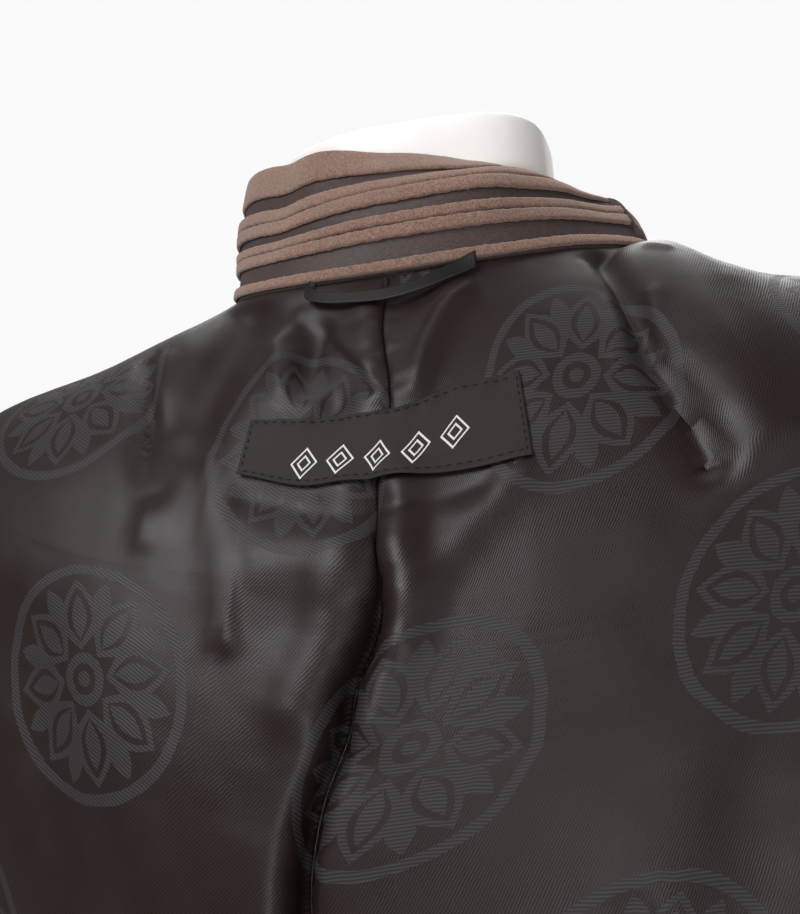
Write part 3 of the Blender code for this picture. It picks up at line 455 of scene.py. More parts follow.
# Camera: place, direction and roll in degrees, focal length in pixels of a picture 914 high
CAMERA_AT = (-0.09041, 0.45853, 1.34053)
CAMERA_TURN = 13.2373
CAMERA_PITCH = 5.5355
CAMERA_ROLL = -5.4062
FOCAL_PIXELS = 1264.58
PICTURE_HEIGHT = 914
SENSOR = 36.0

# Square area lights: place, point they face, side, power
CHEST = (0, 0.05, 1.36)
LIGHTS = {
    "key": ((0.78, 1.35, 2.45), CHEST, 1.0, 28.0),
    "top": ((0.1, -0.6, 2.7), CHEST, 1.4, 8.0),
    "fill": ((-1.6, 1.2, 1.7), CHEST, 1.5, 6.0),
    "low": ((-0.5, 2.2, 0.85), CHEST, 1.1, 15.0),
    "front": ((0.4, -3.2, 3.0), (0, 0, 1.0), 2.5, 62.0),
}

SIDE_NAMES = {"left": 1, "right": -1}


# Surfaces

def along(keys, values, at):
    """Smooth curve through the values at the keys, read at the given places."""
    keys = np.asarray(keys, float)
    values = np.asarray(values, float)
    at = np.clip(np.asarray(at, float), keys[0], keys[-1])
    slopes = np.gradient(values, keys, axis=0)
    index = np.clip(np.searchsorted(keys, at, side="right") - 1, 0, len(keys) - 2)
    gap = keys[index + 1] - keys[index]
    part = (at - keys[index]) / gap
    if values.ndim > 1:
        part = part[..., None]
        gap = gap[..., None]
    start = (2 * part**3 - 3 * part**2 + 1) * values[index]
    leave = (part**3 - 2 * part**2 + part) * gap * slopes[index]
    end = (3 * part**2 - 2 * part**3) * values[index + 1]
    arrive = (part**3 - part**2) * gap * slopes[index + 1]
    return start + leave + end + arrive


def read(table, at):
    """Reads every column of a table after its first, the key, at the given places."""
    return np.moveaxis(along([row[0] for row in table], [row[1:] for row in table], at), -1, 0)


def smooth_step(value):
    value = np.clip(value, 0, 1)
    return value * value * (3 - 2 * value)


def pair(first, second):
    """Two parameters as arrays of one shape."""
    return np.broadcast_arrays(np.asarray(first, float), np.asarray(second, float))


def bent(value, power=BODY_SQUARE):
    """A power that keeps the sign; of a sine or cosine, it makes an oval a little squarer."""
    return np.sign(value) * np.abs(value) ** power


def unit(vectors):
    return vectors / np.linalg.norm(vectors, axis=-1, keepdims=True)


def outward(surface, first, second, sign=1, step=1e-4):
    """Unit normals of a surface of two parameters."""
    across = surface(first + step, second) - surface(first - step, second)
    down = surface(first, second + step) - surface(first, second - step)
    return unit(np.cross(down, across) * sign)


def line_distance(x, z, line):
    """Distance in x and z from a line through the given points."""
    best = np.full(np.shape(x), np.inf)
    for (x0, z0), (x1, z1) in zip(line, line[1:]):
        dx, dz = x1 - x0, z1 - z0
        share = np.clip(((x - x0) * dx + (z - z0) * dz) / (dx * dx + dz * dz), 0, 1)
        best = np.minimum(best, np.hypot(x - x0 - share * dx, z - z0 - share * dz))
    return best


def folds_at(x, z, folds):
    """Sum of the folds at the given places."""
    return sum(height * np.exp(-(line_distance(x, z, line) / width) ** 2) for width, height, line in folds)


def jacket_base(angle, level):
    """Smooth outer surface of the jacket, before its folds."""
    angle, level = pair(angle, level)
    half, side_y, back_y, front_y, back_z, side_z, front_z = read(JACKET_RINGS, level)
    cosine = np.cos(angle)
    back = cosine >= 0
    flare = smooth_step((np.degrees(angle) - NECK_FLARE_FROM) / NECK_FLARE_SPREAD)
    half = half * (1 + NECK_FLARE * flare * np.clip(1 - level, 0, 1))
    y = side_y + (np.where(back, back_y, front_y) - side_y) * np.abs(cosine) ** BODY_SQUARE
    z = side_z + (np.where(back, back_z, front_z) - side_z) * np.abs(cosine) ** BACK_DROP
    return np.stack([-half * bent(np.sin(angle)), y, z], -1)


def jacket(angle, level):
    """Outer surface of the jacket with its large folds."""
    angle, level = pair(angle, level)
    points = jacket_base(angle, level)
    normals = outward(jacket_base, angle, np.clip(level, LEVEL_STEP, JACKET_RINGS[-1][0] - LEVEL_STEP))
    x, z = points[..., 0], points[..., 2]
    back = np.cos(angle) >= 0
    total = np.where(back, folds_at(x, z, BACK_FOLDS), folds_at(x, z, FRONT_FOLDS))
    seam_x, depth = read(BACK_SEAM, z)
    total -= back * depth * np.exp(-((x - seam_x) / PLEAT_WIDTH) ** 2)
    total *= smooth_step(level / FOLDS_START) * smooth_step(np.abs(np.cos(angle)) / FOLDS_STOP)
    return points + normals * total[..., None]


def angle_at(level, x):
    """Angle behind the body at which the jacket passes the given x."""
    share = np.clip(x / read(JACKET_RINGS, level)[0], -1, 1)
    return -np.arcsin(bent(share, 1 / BODY_SQUARE))


def seam_at(level):
    """The x of the centre-back seam at a level."""
    height = jacket_base(np.zeros(np.shape(level)), level)[..., 2]
    return read(BACK_SEAM, height)[0]


def edge_angle(level, reach):
    """Angle from the centre back to the side edge of a panel, whose armhole bites in by the reach."""
    sine = np.sqrt(np.clip(1 - (3 - level) ** 2, 0, 1)) * ((level > 2) & (level < 4))
    return math.pi / 2 + np.sign(reach) * np.maximum(np.radians(abs(reach)) * sine, SIDE_GAP)


def front_angle(level, width=0.0):
    """Angle to the open front edge, or to a line that lies a width beside it."""
    half = read(JACKET_RINGS, level)[0]
    reach = np.minimum(read(FRONT_GAP, level)[0] + width, 0.8 * half)
    return math.pi - np.arcsin((reach / half) ** (1 / BODY_SQUARE))


def armhole(turn, side):
    """The armhole's loop, as if on the wearer's left; 0 at the shoulder tip, 90 degrees at the back."""
    bite = np.where(np.sin(turn) >= 0, ARMHOLE_BACK, ARMHOLE_FRONT)
    angle = math.pi / 2 - np.radians(bite) * np.sin(turn)
    points = jacket(-side * angle, 3 - np.cos(turn))
    return points * np.array([side, 1, 1])


def sleeve(side):
    """The surface of a sleeve, as if on the wearer's left: turn round it, station along it."""
    def surface(turn, station):
        turn, station = pair(turn, station)
        head = np.clip(station / SLEEVE_HEAD, 0, 1)
        x, y, z, width, depth, tilt = read(SLEEVE_RINGS, np.where(head < 1, 1 + head**2, station))
        tilt = np.radians(tilt)
        across = depth * np.cos(turn)
        ring = np.stack([x + across * np.sin(tilt), y + width * np.sin(turn), z + across * np.cos(tilt)], -1)
        left = ((1 - head) ** 2)[..., None]
        return left * (armhole(turn, side) + np.array([SEAM, 0, 0])) + (1 - left) * ring
    return surface


def collar(angle, height):
    """Outer surface of the collar: it stands up on the neck seam and its top rolls in on the right."""
    angle, height = pair(angle, height)
    degrees = np.degrees(angle)
    height = height * (1 - COLLAR_DROP * smooth_step((COLLAR_DROP_FROM - degrees) / COLLAR_DROP_SPREAD))
    lean, roll, roll_height = read(COLLAR_SECTIONS, degrees)
    run = jacket_base(angle + 1e-3, 0) - jacket_base(angle - 1e-3, 0)
    inwards = unit(np.stack([-run[..., 1], run[..., 0], 0 * angle], -1))
    walked = height[..., None] * (np.arange(COLLAR_STEPS) + 0.5) / COLLAR_STEPS
    rolled = smooth_step((walked - roll_height[..., None]) / FOLD_SPAN + 0.5)
    slope = np.radians(lean[..., None] + roll[..., None] * rolled)
    up = np.cos(slope).mean(-1) * height
    inward = np.sin(slope).mean(-1) * height
    lift = SEAM + FRONT_FOOT_LIFT * smooth_step((np.abs(degrees) - 80) / 30)
    return jacket_base(angle, 0) + UPRIGHT * (up + lift)[..., None] + inwards * inward[..., None]


def neck_section(turn, height, inset):
    """A ring of the form's neck, an ellipse that grows a squarer side on the wearer's right."""
    sine = np.sin(turn)
    right = smooth_step(0.5 + sine) * smooth_step((height - NECK_BASE) / NECK_GROWS)
    square = 1 - NECK_SQUARE * right
    half = NECK_HALF[0] + NECK_RIGHT * right - inset
    x = NECK_CENTRE[0] - half * bent(sine, square)
    y = NECK_CENTRE[1] + (NECK_HALF[1] - inset) * bent(np.cos(turn), square)
    return np.stack([x, y, np.full(turn.shape, height)], -1)


def trouser(turn, height):
    """Surface of the trousers on the wearer's left: 0 at the side seam, 90 degrees at the front."""
    turn, height = pair(turn, height)
    centre, half, front, back = read(TROUSER_RINGS, height)
    sine = np.sin(turn)
    y = -np.where(sine > 0, front, back) * bent(sine)
    return np.stack([centre + half * bent(np.cos(turn)), y, height], -1)


def trouser_panel(turn, height):
    """The trousers' surface, kept clear of the other leg."""
    points = trouser(turn, height)
    points[..., 0] = np.maximum(points[..., 0], TROUSER_CLEAR)
    return points


def trouser_end(height):
    """Turn at which a panel meets the centre seam, or the inseam below the fork."""
    centre, half, _, _ = read(TROUSER_RINGS, height)
    share = np.clip((SEAM / 2 - centre) / half, -1, 1)
    return np.minimum(np.arccos(bent(share, 1 / BODY_SQUARE)), math.pi - SIDE_GAP)


def form_low(angle, height):
    """The form from its bottom to its ribs."""
    angle, height = pair(angle, height)
    half, front, back = read(FORM_RINGS, height)
    cosine = np.cos(angle)
    y = np.where(cosine >= 0, back, front) * bent(cosine)
    return np.stack([-half * bent(np.sin(angle)), y, height], -1)


def loop_surface(share, across):
    """Face of the ribbon loop: share along it, distance across it."""
    share, across = pair(share, across)
    x, y, z, lean = read(LOOP_PATH, share)
    lean = np.radians(lean)
    return np.stack([x, y - across * np.sin(lean), z + across * np.cos(lean)], -1)


def label_surface(across, down):
    """The label on the lining: shares across it and down it."""
    down, across = pair(down, across)
    x = (LABEL_TOP_HALF + (LABEL_BOTTOM_HALF - LABEL_TOP_HALF) * down) * (1 - 2 * across)
    top, bottom = LABEL_LEVELS
    low = bottom - LABEL_LEFT_RISE * smooth_step((x - 0.018) / 0.030)
    level = top + (low - top) * down - LABEL_RIGHT_RISE * smooth_step((-x - 0.004) / 0.022) * (1 - down)
    return jacket(angle_at(level, x + LABEL_ASIDE), level)


# Meshes

def unevenness(points, scale, height):
    """Soft bumps without a pattern, as a sum of waves in several directions."""
    total = 0
    for k, (*direction, phase) in enumerate(WAVES):
        wave = points @ np.array(direction) * (2 * math.pi / scale) + phase
        total = total + np.sin(wave + 0.6 * np.sin(wave * 0.37 + k)) / (1 + 0.5 * k)
    return total * height / 3


def fade(distance, height, reach):
    """A height that dies out with distance."""
    return height * np.exp(-distance / reach)


def hump(distance, height, width):
    """A height that falls off to both sides."""
    return height * np.exp(-(distance / width) ** 2)


def ripples(points, piece):
    """The soft bumps of a piece, from broad to fine."""
    return sum(unevenness(points, scale, height) for scale, height in RIPPLES[piece])


def rippled(piece):
    """Relief of soft bumps alone."""
    return lambda points, across, down: ripples(points, piece)


def grow(length, step, first=FIRST_STEP, growth=1.35):
    """Places from 0 to a length: close together at first, then a step apart."""
    places = [0.0]
    gap = first
    while places[-1] + gap < length - step / 2:
        places.append(places[-1] + gap)
        gap = min(gap * growth, step)
    return np.array(places + [length])


def both_ends(length, step):
    """Shares from 0 to 1 along a length, close together at both ends."""
    half = grow(length / 2, step)
    return np.concatenate([half, length - half[-2::-1]]) / length


def spread(start, end, grid):
    """Places from a start to an end, close together at both, on the grid of the given name."""
    return start + (end - start) * both_ends(*GRIDS[grid])


def down_from(start, end, grid):
    """The same as a column, for places down a piece."""
    return spread(start, end, grid)[:, None]


def arcs(points, axis):
    """Distance walked along each line of points."""
    steps = np.linalg.norm(np.diff(points, axis=axis), axis=-1)
    return np.concatenate([0 * np.take(steps, [0], axis), np.cumsum(steps, axis)], axis)


def lay_flat(points, across, down, straight):
    """The piece laid flat: a coarse net of it is relaxed until its sides and angles are the cloth's own.

    Straight is the column that lies straight along the cloth's length.
    """
    rows = np.unique(np.linspace(0, points.shape[0] - 1, FLAT_NET).astype(int))
    columns = np.unique(np.append(np.linspace(0, points.shape[1] - 1, FLAT_NET).astype(int), straight))
    coarse = np.ix_(rows, columns)
    start = np.stack([across, down], -1)[coarse]
    middle = int(np.searchsorted(columns, straight))
    start[..., 0] -= start[:, middle:middle + 1, 0]
    wide, long = np.diff(across[coarse], axis=1), np.diff(down[coarse], axis=0)
    right, below = np.diff(points[coarse], axis=1), np.diff(points[coarse], axis=0)

    def diagonal(a, b, first, second, sign):
        cosine = (unit(first) * unit(second)).sum(-1)
        return np.sqrt(a * a + b * b + sign * 2 * a * b * cosine)
    springs = [
        (np.s_[:, :-1], np.s_[:, 1:], wide),
        (np.s_[:-1], np.s_[1:], long),
        (np.s_[:-1, :-1], np.s_[1:, 1:], diagonal(wide[:-1], long[:, :-1], right[:-1], below[:, :-1], 1)),
        (np.s_[:-1, 1:], np.s_[1:, :-1], diagonal(wide[:-1], long[:, 1:], right[:-1], below[:, 1:], -1)),
    ]
    flat = start.copy()
    for _ in range(FLAT_ROUNDS):
        push = np.zeros(flat.shape)
        count = np.zeros(flat.shape[:2])
        for one, other, length in springs:
            gap = flat[other] - flat[one]
            span = np.linalg.norm(gap, axis=-1)
            shift = gap * ((span - length) / span / 2)[..., None]
            push[one] += shift
            push[other] -= shift
            count[one] += 1
            count[other] += 1
        flat += push / count[..., None] * FLAT_HASTE
        flat[:, middle] = start[:, middle]
    change = flat - start
    row_at = np.arange(points.shape[0])
    column_at = np.arange(points.shape[1])
    by_row = [[np.interp(row_at, rows, change[:, j, k]) for j in range(len(columns))] for k in (0, 1)]
    by_row = np.array(by_row)
    fine = np.stack([[np.interp(column_at, columns, by_row[k, :, i]) for i in row_at] for k in (0, 1)], -1)
    return np.stack([across - across[:, straight:straight + 1], down], -1) + fine


def edge_round(distance, radius):
    """How far a rounded edge falls below the face at a distance from the edge."""
    inside = np.clip(radius - distance, 0, radius)
    return radius - np.sqrt(radius * radius - inside * inside)


def grid_faces(rows, columns, ring, start=0):
    """Quads of a grid of points as an array."""
    i = np.arange(rows - 1)[:, None] * columns + start
    j = np.arange(columns if ring else columns - 1)[None, :]
    k = (j + 1) % columns
    return np.stack([i + j, i + k, i + columns + k, i + columns + j], -1).reshape(-1, 4)


def rim_faces(line, offset):
    """Quads that join a line of the outer grid to the same line of the inner grid."""
    return np.stack([line[:-1], line[1:], line[1:] + offset, line[:-1] + offset], -1)


def wall_mesh(name, outer, inner, uv, ring=False):
    """A closed wall from its outer and inner grids, with the cloth coordinates as its UV map."""
    rows, columns = outer.shape[:2]
    count = rows * columns
    index = np.arange(count).reshape(rows, columns)
    if ring:
        index = np.concatenate([index, index[:, :1]], 1)
    faces = [grid_faces(rows, columns, ring), grid_faces(rows, columns, ring, count)[:, ::-1]]
    faces += [rim_faces(index[0], count)[:, ::-1], rim_faces(index[-1], count)]
    if not ring:
        faces += [rim_faces(index[:, 0], count), rim_faces(index[:, -1], count)[:, ::-1]]
    faces = np.concatenate(faces)
    points = np.concatenate([outer.reshape(-1, 3), inner.reshape(-1, 3)])
    corner, next_corner, _, last = points[faces[0]]
    thickness = points[faces[0]].mean(0) - points[faces[0][0] + count]
    if np.dot(np.cross(next_corner - corner, last - corner), thickness) < 0:
        faces = faces[:, ::-1]
    mesh = bpy.data.meshes.new(name)
    mesh.vertices.add(len(points))
    mesh.vertices.foreach_set("co", points.astype(np.float32).ravel())
    mesh.loops.add(faces.size)
    mesh.loops.foreach_set("vertex_index", faces.astype(np.int32).ravel())
    mesh.polygons.add(len(faces))
    mesh.polygons.foreach_set("loop_start", np.arange(0, faces.size, 4, dtype=np.int32))
    mesh.update(calc_edges=True)
    layer = mesh.uv_layers.new(name="cloth")
    both = np.concatenate([uv.reshape(-1, 2)] * 2)
    layer.data.foreach_set("uv", both[faces.ravel()].astype(np.float32).ravel())
    return smoothed(mesh, 60)


def tube_mesh(name, tubes, sharp=None):
    """Closed tubes in one mesh, each of them a stack of rings of points."""
    count, rings, sides = tubes.shape[:3]
    faces = []
    for first in np.arange(count) * rings * sides:
        last = first + (rings - 1) * sides
        faces += grid_faces(rings, sides, True, first).tolist()
        faces += [np.arange(first, first + sides)[::-1].tolist(), np.arange(last, last + sides).tolist()]
    mesh = bpy.data.meshes.new(name)
    mesh.from_pydata(tubes.reshape(-1, 3).tolist(), [], faces)
    return smoothed(mesh, sharp)


def smoothed(mesh, sharp):
    """The mesh with smooth shading, apart from edges that bend by more than the given degrees."""
    mesh.validate()
    mesh.shade_smooth()
    if sharp:
        mesh.set_sharp_from_angle(angle=math.radians(sharp))
    return mesh


def place(name, mesh, material, replaced=()):
    """Puts a mesh in the scene as a piece of the part."""
    piece = bpy.data.objects.new(name, mesh)
    bpy.context.scene.collection.objects.link(piece)
    mesh.materials.append(material)
    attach(piece, "root")
    if replaced:
        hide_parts(*replaced)
    return piece


def cloth(name, surface, first, second, stuff, *, sign=1, mirror=1, thick=None, lift=0.0, seams="",
          relief=None, ring=False, with_pieces=(),
          straight=None, turned=1, sewn=None):
    """A piece of cloth over the solid of the same name.

    Stuff is its material, its slot and its usual thickness.
    Straight is a column that lies along the cloth's length, and turned -1 runs the cloth's width backwards.
    Sewn makes the stitches that lie on its outer face. With_pieces is not used.
    Seams names the edges that are sewn to a neighbour: s and e for the start and end of the rows,
    t and b for the top and bottom row.
    """
    material, slot, usual = stuff
    thick = thick or usual
    first, second = pair(first, second)
    points = surface(first, second)
    normals = outward(surface, first, second, sign)
    across, down = arcs(points, 1), arcs(points, 0)
    edges = {"s": across, "e": across[:, -1:] - across, "t": down, "b": down[-1:] - down}
    if ring:
        del edges["s"], edges["e"]
    rounding = edge_round(np.minimum.reduce(list(edges.values())), thick * EDGE_SHARE)
    height = lift - sum(ROLL_DEPTH * np.exp(-(edges[letter] / ROLL_WIDTH) ** 2) for letter in seams)
    if relief:
        height = height + relief(points, across, down)
    outer = points + normals * (height - rounding)[..., None]
    inner = points + normals * (height - thick + rounding)[..., None]
    uv = np.stack([across, down], -1)
    if straight is not None:
        uv = lay_flat(points, across, down, straight % points.shape[1])
    width, length = (float(size) for size in np.ptp(uv.reshape(-1, 2), axis=0))
    corner = np.cross(outer[1:, 1:] - outer[:-1, :-1], outer[1:, :-1] - outer[:-1, 1:])
    area = float(np.linalg.norm(corner, axis=-1).sum() / 2)
    if ring:
        grown = 1 + float(np.linalg.norm(points[:, 0] - points[:, -1], axis=-1).max()) / width
        width, area = width * grown, area * grown
    width, length = round(width, 4), round(length, 4)
    scale = np.array([mirror, 1, 1])
    mesh = wall_mesh(name, outer * scale, inner * scale, uv * np.array([turned, 1]), ring)
    piece = place("fine_" + name, mesh, material, (name,))
    if sewn:
        with_pieces = [*with_pieces, *sewn(outer * scale, normals * scale)]
    return piece


# Materials

def operator(kind, backwards=False):
    """A method that adds a math node of the given kind."""
    def method(self, *others):
        values = (self, *others)
        return self.look.math(kind, *(values[::-1] if backwards else values))
    return method


class Value:
    """The output of a material's node; numbers are written like arithmetic."""

    def __init__(self, look, socket):
        self.look = look
        self.socket = socket

    __add__ = operator("ADD")
    __sub__ = operator("SUBTRACT")
    __rsub__ = operator("SUBTRACT", backwards=True)
    __mul__ = operator("MULTIPLY")
    __truediv__ = operator("DIVIDE")
    __mod__ = operator("FLOORED_MODULO")
    __lt__ = operator("LESS_THAN")
    __abs__ = operator("ABSOLUTE")
    sine = operator("SINE")
    floor = operator("FLOOR")
    fraction = operator("FRACT")
    root = operator("SQRT")
    larger = operator("MAXIMUM")
    turn = operator("ARCTAN2")

    def wave(self, length):
        """A sine wave of the given length, from 0 to 1."""
        return (self * (2 * math.pi / length)).sine() * 0.5 + 0.5

    def ribs(self, pitch):
        """Round ribs with sharp grooves, from 0 to 1."""
        return abs((self * (math.pi / pitch)).sine())

    def between(self, low, high, to_low=0.0, to_high=1.0):
        """Maps the value from one span to another, and stops at its ends."""
        return self.look.node("MapRange", enumerate((self, low, high, to_low, to_high)))


class Look:
    """A Principled material whose nodes are put together by short calls."""

    def __init__(self, name, roughness, **sockets):
        self.material = bpy.data.materials.new(name)
        self.material.use_nodes = True
        self.tree = self.material.node_tree
        self.shader = self.tree.nodes["Principled BSDF"]
        self.set(Roughness=roughness, **sockets)

    def set(self, **sockets):
        """Gives the shader's sockets their values."""
        for name, value in sockets.items():
            self.join(value, self.shader.inputs[name.replace("_", " ")])

    def join(self, value, socket):
        if isinstance(value, Value):
            self.tree.links.new(value.socket, socket)
        elif socket.type == "RGBA":
            socket.default_value = (*value[:3], 1)
        else:
            socket.default_value = value

    def node(self, kind, inputs=(), output=0, **settings):
        """Adds a node with its settings, joins its inputs and gives one of its outputs."""
        node = self.tree.nodes.new("ShaderNode" + kind)
        for name, setting in settings.items():
            setattr(node, name, setting)
        for name, value in dict(inputs).items():
            self.join(value, node.inputs[name])
        return Value(self, node.outputs[output])

    def math(self, kind, *values):
        return self.node("Math", enumerate(values), operation=kind)

    def uv(self):
        """The two cloth coordinates, in metres."""
        both = {0: self.node("UVMap", uv_map="cloth")}
        return self.node("SeparateXYZ", both, 0), self.node("SeparateXYZ", both, 1)

    def place(self, scale=(1, 1, 1)):
        """Object coordinates, stretched along each axis."""
        return self.node("Mapping", {"Vector": self.node("TexCoord", output="Object"), "Scale": scale})

    def noise(self, at, scale, detail=3.0, roughness=0.6):
        return self.node("TexNoise", {"Vector": at, "Scale": scale, "Detail": detail, "Roughness": roughness},
                         "Fac")

    def mix(self, share, first, second):
        return self.node("Mix", {0: share, 6: first, 7: second}, 2, data_type="RGBA")

    def bump(self, height, distance, strength):
        self.set(Normal=self.node("Bump", {"Height": height, "Distance": distance, "Strength": strength}))


def motif(u, v):
    """Rosettes in staggered rows: 1 on their woven lines and 0 beside them."""
    wide, tall = MOTIF_PITCH
    row = (v - (MOTIF_FIRST[1] - tall / 2)) / tall
    y = (row.fraction() - 0.5) * tall
    shifted = u - (MOTIF_FIRST[0] - wide / 2) + row.floor() % 2.0 * (wide / 2)
    x = shifted % wide - wide / 2
    radius = (x * x + y * y).root()
    angle = y.turn(x)

    woven = radius < MOTIF_DOT
    for middle, half in MOTIF_RINGS:
        woven = woven.larger(abs(radius - middle) < half)
    for inner, outer, half, line, turned in MOTIF_PETALS:
        part = angle * (PETAL_COUNT / (2 * math.pi)) + turned
        aside = abs(radius * ((part.fraction() - 0.5) * (2 * math.pi / PETAL_COUNT)).sine())
        width = (radius.between(inner, outer) * math.pi).sine() * half
        woven = woven.larger((aside < width) - (aside < width - line))
    return woven


def lining_look():
    """Dark satin twill with a tone-on-tone woven rosette."""
    look = Look("lining satin", 0.42, Specular_IOR_Level=0.32, Specular_Tint=(0.97, 0.94, 0.98))
    u, v = look.uv()
    where = look.place()
    twill = u * (math.sin(TWILL_LEAN) / TWILL_PITCH) - v * (math.cos(TWILL_LEAN) / TWILL_PITCH)
    ridge = (twill + look.noise(where, 900.0, 2.0) * 0.5).wave(1.0)
    woven = motif(u, v)
    floats = (v + u * FLOATS_LEAN).wave(FLOATS_PITCH)
    patchy = look.noise(where, 55.0, 2.0)
    ground = look.mix(ridge, (0.0050, 0.0024, 0.0020), (0.0215, 0.0124, 0.0104))
    ground = look.mix(patchy.between(0.35, 0.7, 0.0, 0.35), ground, (0.0160, 0.0093, 0.0080))
    thread = look.mix(floats, (0.0130, 0.0100, 0.0102), (0.0370, 0.0310, 0.0335))
    look.set(Base_Color=look.mix(woven, ground, thread),
             Roughness=woven * 0.10 + patchy.between(0.3, 0.7, 0.37, 0.46))
    look.bump(ridge * (1.0 - woven) + floats * woven, 0.00006, 0.55)
    return look.material


def wool_look():
    """Brown napped wool: mottled, with short fibres lying in every direction."""
    look = Look("brown wool", 0.95, Specular_IOR_Level=0.18, Sheen_Weight=0.55, Sheen_Roughness=0.55,
                Sheen_Tint=(0.80, 0.66, 0.58))
    where = look.place()
    fine = look.noise(where, 1500.0, 3.0, 0.8)
    speck = look.noise(where, 700.0, 4.0, 0.8)
    broad = look.noise(where, 40.0, 2.0)
    tone = look.mix(fine.between(0.34, 0.66), (0.105, 0.058, 0.043), (0.335, 0.208, 0.165))
    tone = look.mix(speck.between(0.46, 0.70, 0.0, 0.45), tone, (0.130, 0.074, 0.056))
    look.set(Base_Color=look.mix(broad.between(0.3, 0.7, 0.0, 0.30), tone, (0.125, 0.080, 0.060)))
    look.bump(fine + speck, 0.00030, 0.8)
    return look.material


def satin_look():
    """The dark satin between the collar's wool bands."""
    look = Look("collar satin", 0.55, Specular_IOR_Level=0.30, Sheen_Weight=0.06, Sheen_Roughness=0.5,
                Sheen_Tint=(0.85, 0.75, 0.80))
    threads = look.noise(look.place((1.0, 1.0, 5.0)), 700.0, 2.0)
    broad = look.noise(look.place(), 60.0, 2.0)
    tone = look.mix(threads.between(0.35, 0.65), (0.034, 0.022, 0.021), (0.072, 0.048, 0.045))
    look.set(Base_Color=look.mix(broad.between(0.3, 0.7, 0.0, 0.3), tone, (0.045, 0.034, 0.032)))
    look.bump(threads, 0.00012, 0.7)
    return look.material


def ribbon_look():
    """Black-brown ribbon with fine ribs across it."""
    look = Look("ribbon", 0.34, Specular_IOR_Level=0.22)
    u, v = look.uv()
    rib = u.ribs(0.0006)
    at_edge = abs(v - LOOP_WIDTH / 2).between(LOOP_WIDTH * 0.40, LOOP_WIDTH * 0.46)
    tone = look.mix(rib, (0.0045, 0.0040, 0.0042), (0.0115, 0.0105, 0.0112))
    look.set(Base_Color=look.mix(at_edge, tone, (0.016, 0.0145, 0.015)))
    look.bump(rib - at_edge, 0.00008, 0.8)
    return look.material


def label_look():
    """Dark woven label with a plain row of outlined lozenges in white thread."""
    look = Look("label weave", 0.60, Specular_IOR_Level=0.22)
    u, v = look.uv()
    weave = u.ribs(0.00045) * v.ribs(0.00045)
    ground = look.mix(weave, (0.0130, 0.0095, 0.0090), (0.0330, 0.0250, 0.0240))
    pitch, wide, tall, line = LOZENGES
    shifted = u - LABEL_MIDDLE[0]
    across = abs(((shifted / pitch + 0.5).fraction() - 0.5) * pitch)
    reach = across * (tall / wide) + abs(v - LABEL_MIDDLE[1])
    outline = abs(reach - (tall - line)) < line
    inner = abs(reach - tall * 0.45) < line
    shown = outline.larger(inner) * (abs(shifted) < pitch * 2.5)
    look.set(Base_Color=look.mix(shown, ground, (0.66, 0.64, 0.62)))
    look.bump(weave + shown, 0.00008, 0.6)
    return look.material


def plain_look(name, colour, roughness, **sockets):
    """A smooth finish with faint unevenness in its colour and gloss."""
    look = Look(name, roughness, **sockets)
    where = look.place()
    broad = look.noise(where, 25.0, 3.0)
    fine = look.noise(where, 800.0, 2.0)
    darker = tuple(c * 0.93 for c in colour)
    look.set(Base_Color=look.mix(broad.between(0.35, 0.65), colour, darker),
             Roughness=fine.between(0.3, 0.7, roughness * 0.92, roughness * 1.08))
    look.bump(fine, 0.00003, 0.4)
    return look.material


LINING = (lining_look(), "lining", THIN)
WOOL = (wool_look(), "wool", WOOL_THICK)
SATIN = (satin_look(), "collar_satin", COLLAR_CLOTH)
RIBBON = (ribbon_look(), "ribbon", LOOP_THICKNESS)
LABEL = (label_look(), "label_cloth", LABEL_THICKNESS)
DARK_THREAD = plain_look("dark thread", (0.0075, 0.0065, 0.0068), 0.6, Specular_IOR_Level=0.2)
BROWN_THREAD = plain_look("brown thread", (0.070, 0.044, 0.034), 0.6)
FORM_WHITE = plain_look("form cover", (0.92, 0.89, 0.875), 0.42, Specular_IOR_Level=0.4)
METAL = plain_look("form metal", (0.72, 0.72, 0.73), 0.30, Metallic=1.0)
BUTTON_HORN = plain_look("button", (0.055, 0.036, 0.028), 0.28, Coat_Weight=0.4)


# Pieces

def jacket_levels(bottom, fine_until, fine, coarse):
    """Levels from the neck down: fine where the camera looks, coarser below."""
    upper = np.arange(0, fine_until, fine)
    arm = 3 - np.cos(np.linspace(0, math.pi, 41))
    lower = np.arange(fine_until, bottom, coarse)
    near_bottom = bottom - np.array(NEAR_BOTTOM)
    levels = np.concatenate([NEAR_NECK, upper, arm[1:-1], lower, near_bottom])
    levels = np.unique(np.round(levels, 4))
    levels = levels[np.concatenate([[True], np.diff(levels) > LEAST_STEP])]
    levels[-1] = bottom
    return levels[levels <= bottom][:, None]


def back_relief(side):
    def relief(points, across, down):
        """Fine creases, puckers beside the centre seam and the pleat's sharp bottom."""
        x, z = points[..., 0], points[..., 2]
        total = folds_at(x, z, BACK_CREASES.values()) * smooth_step(down / 0.010)
        first, second = (2 * math.pi * down / length for length in PUCKER_LENGTHS)
        pucker = np.sin(first + side) + 0.6 * np.sin(second)
        total += pucker * fade(across, *PUCKER) * (1 - fade(across, 1, PUCKER_START))
        total -= read(BACK_SEAM, z)[1] * hump(across, *PLEAT_BOTTOM)
        return total + ripples(points, "back")
    return relief


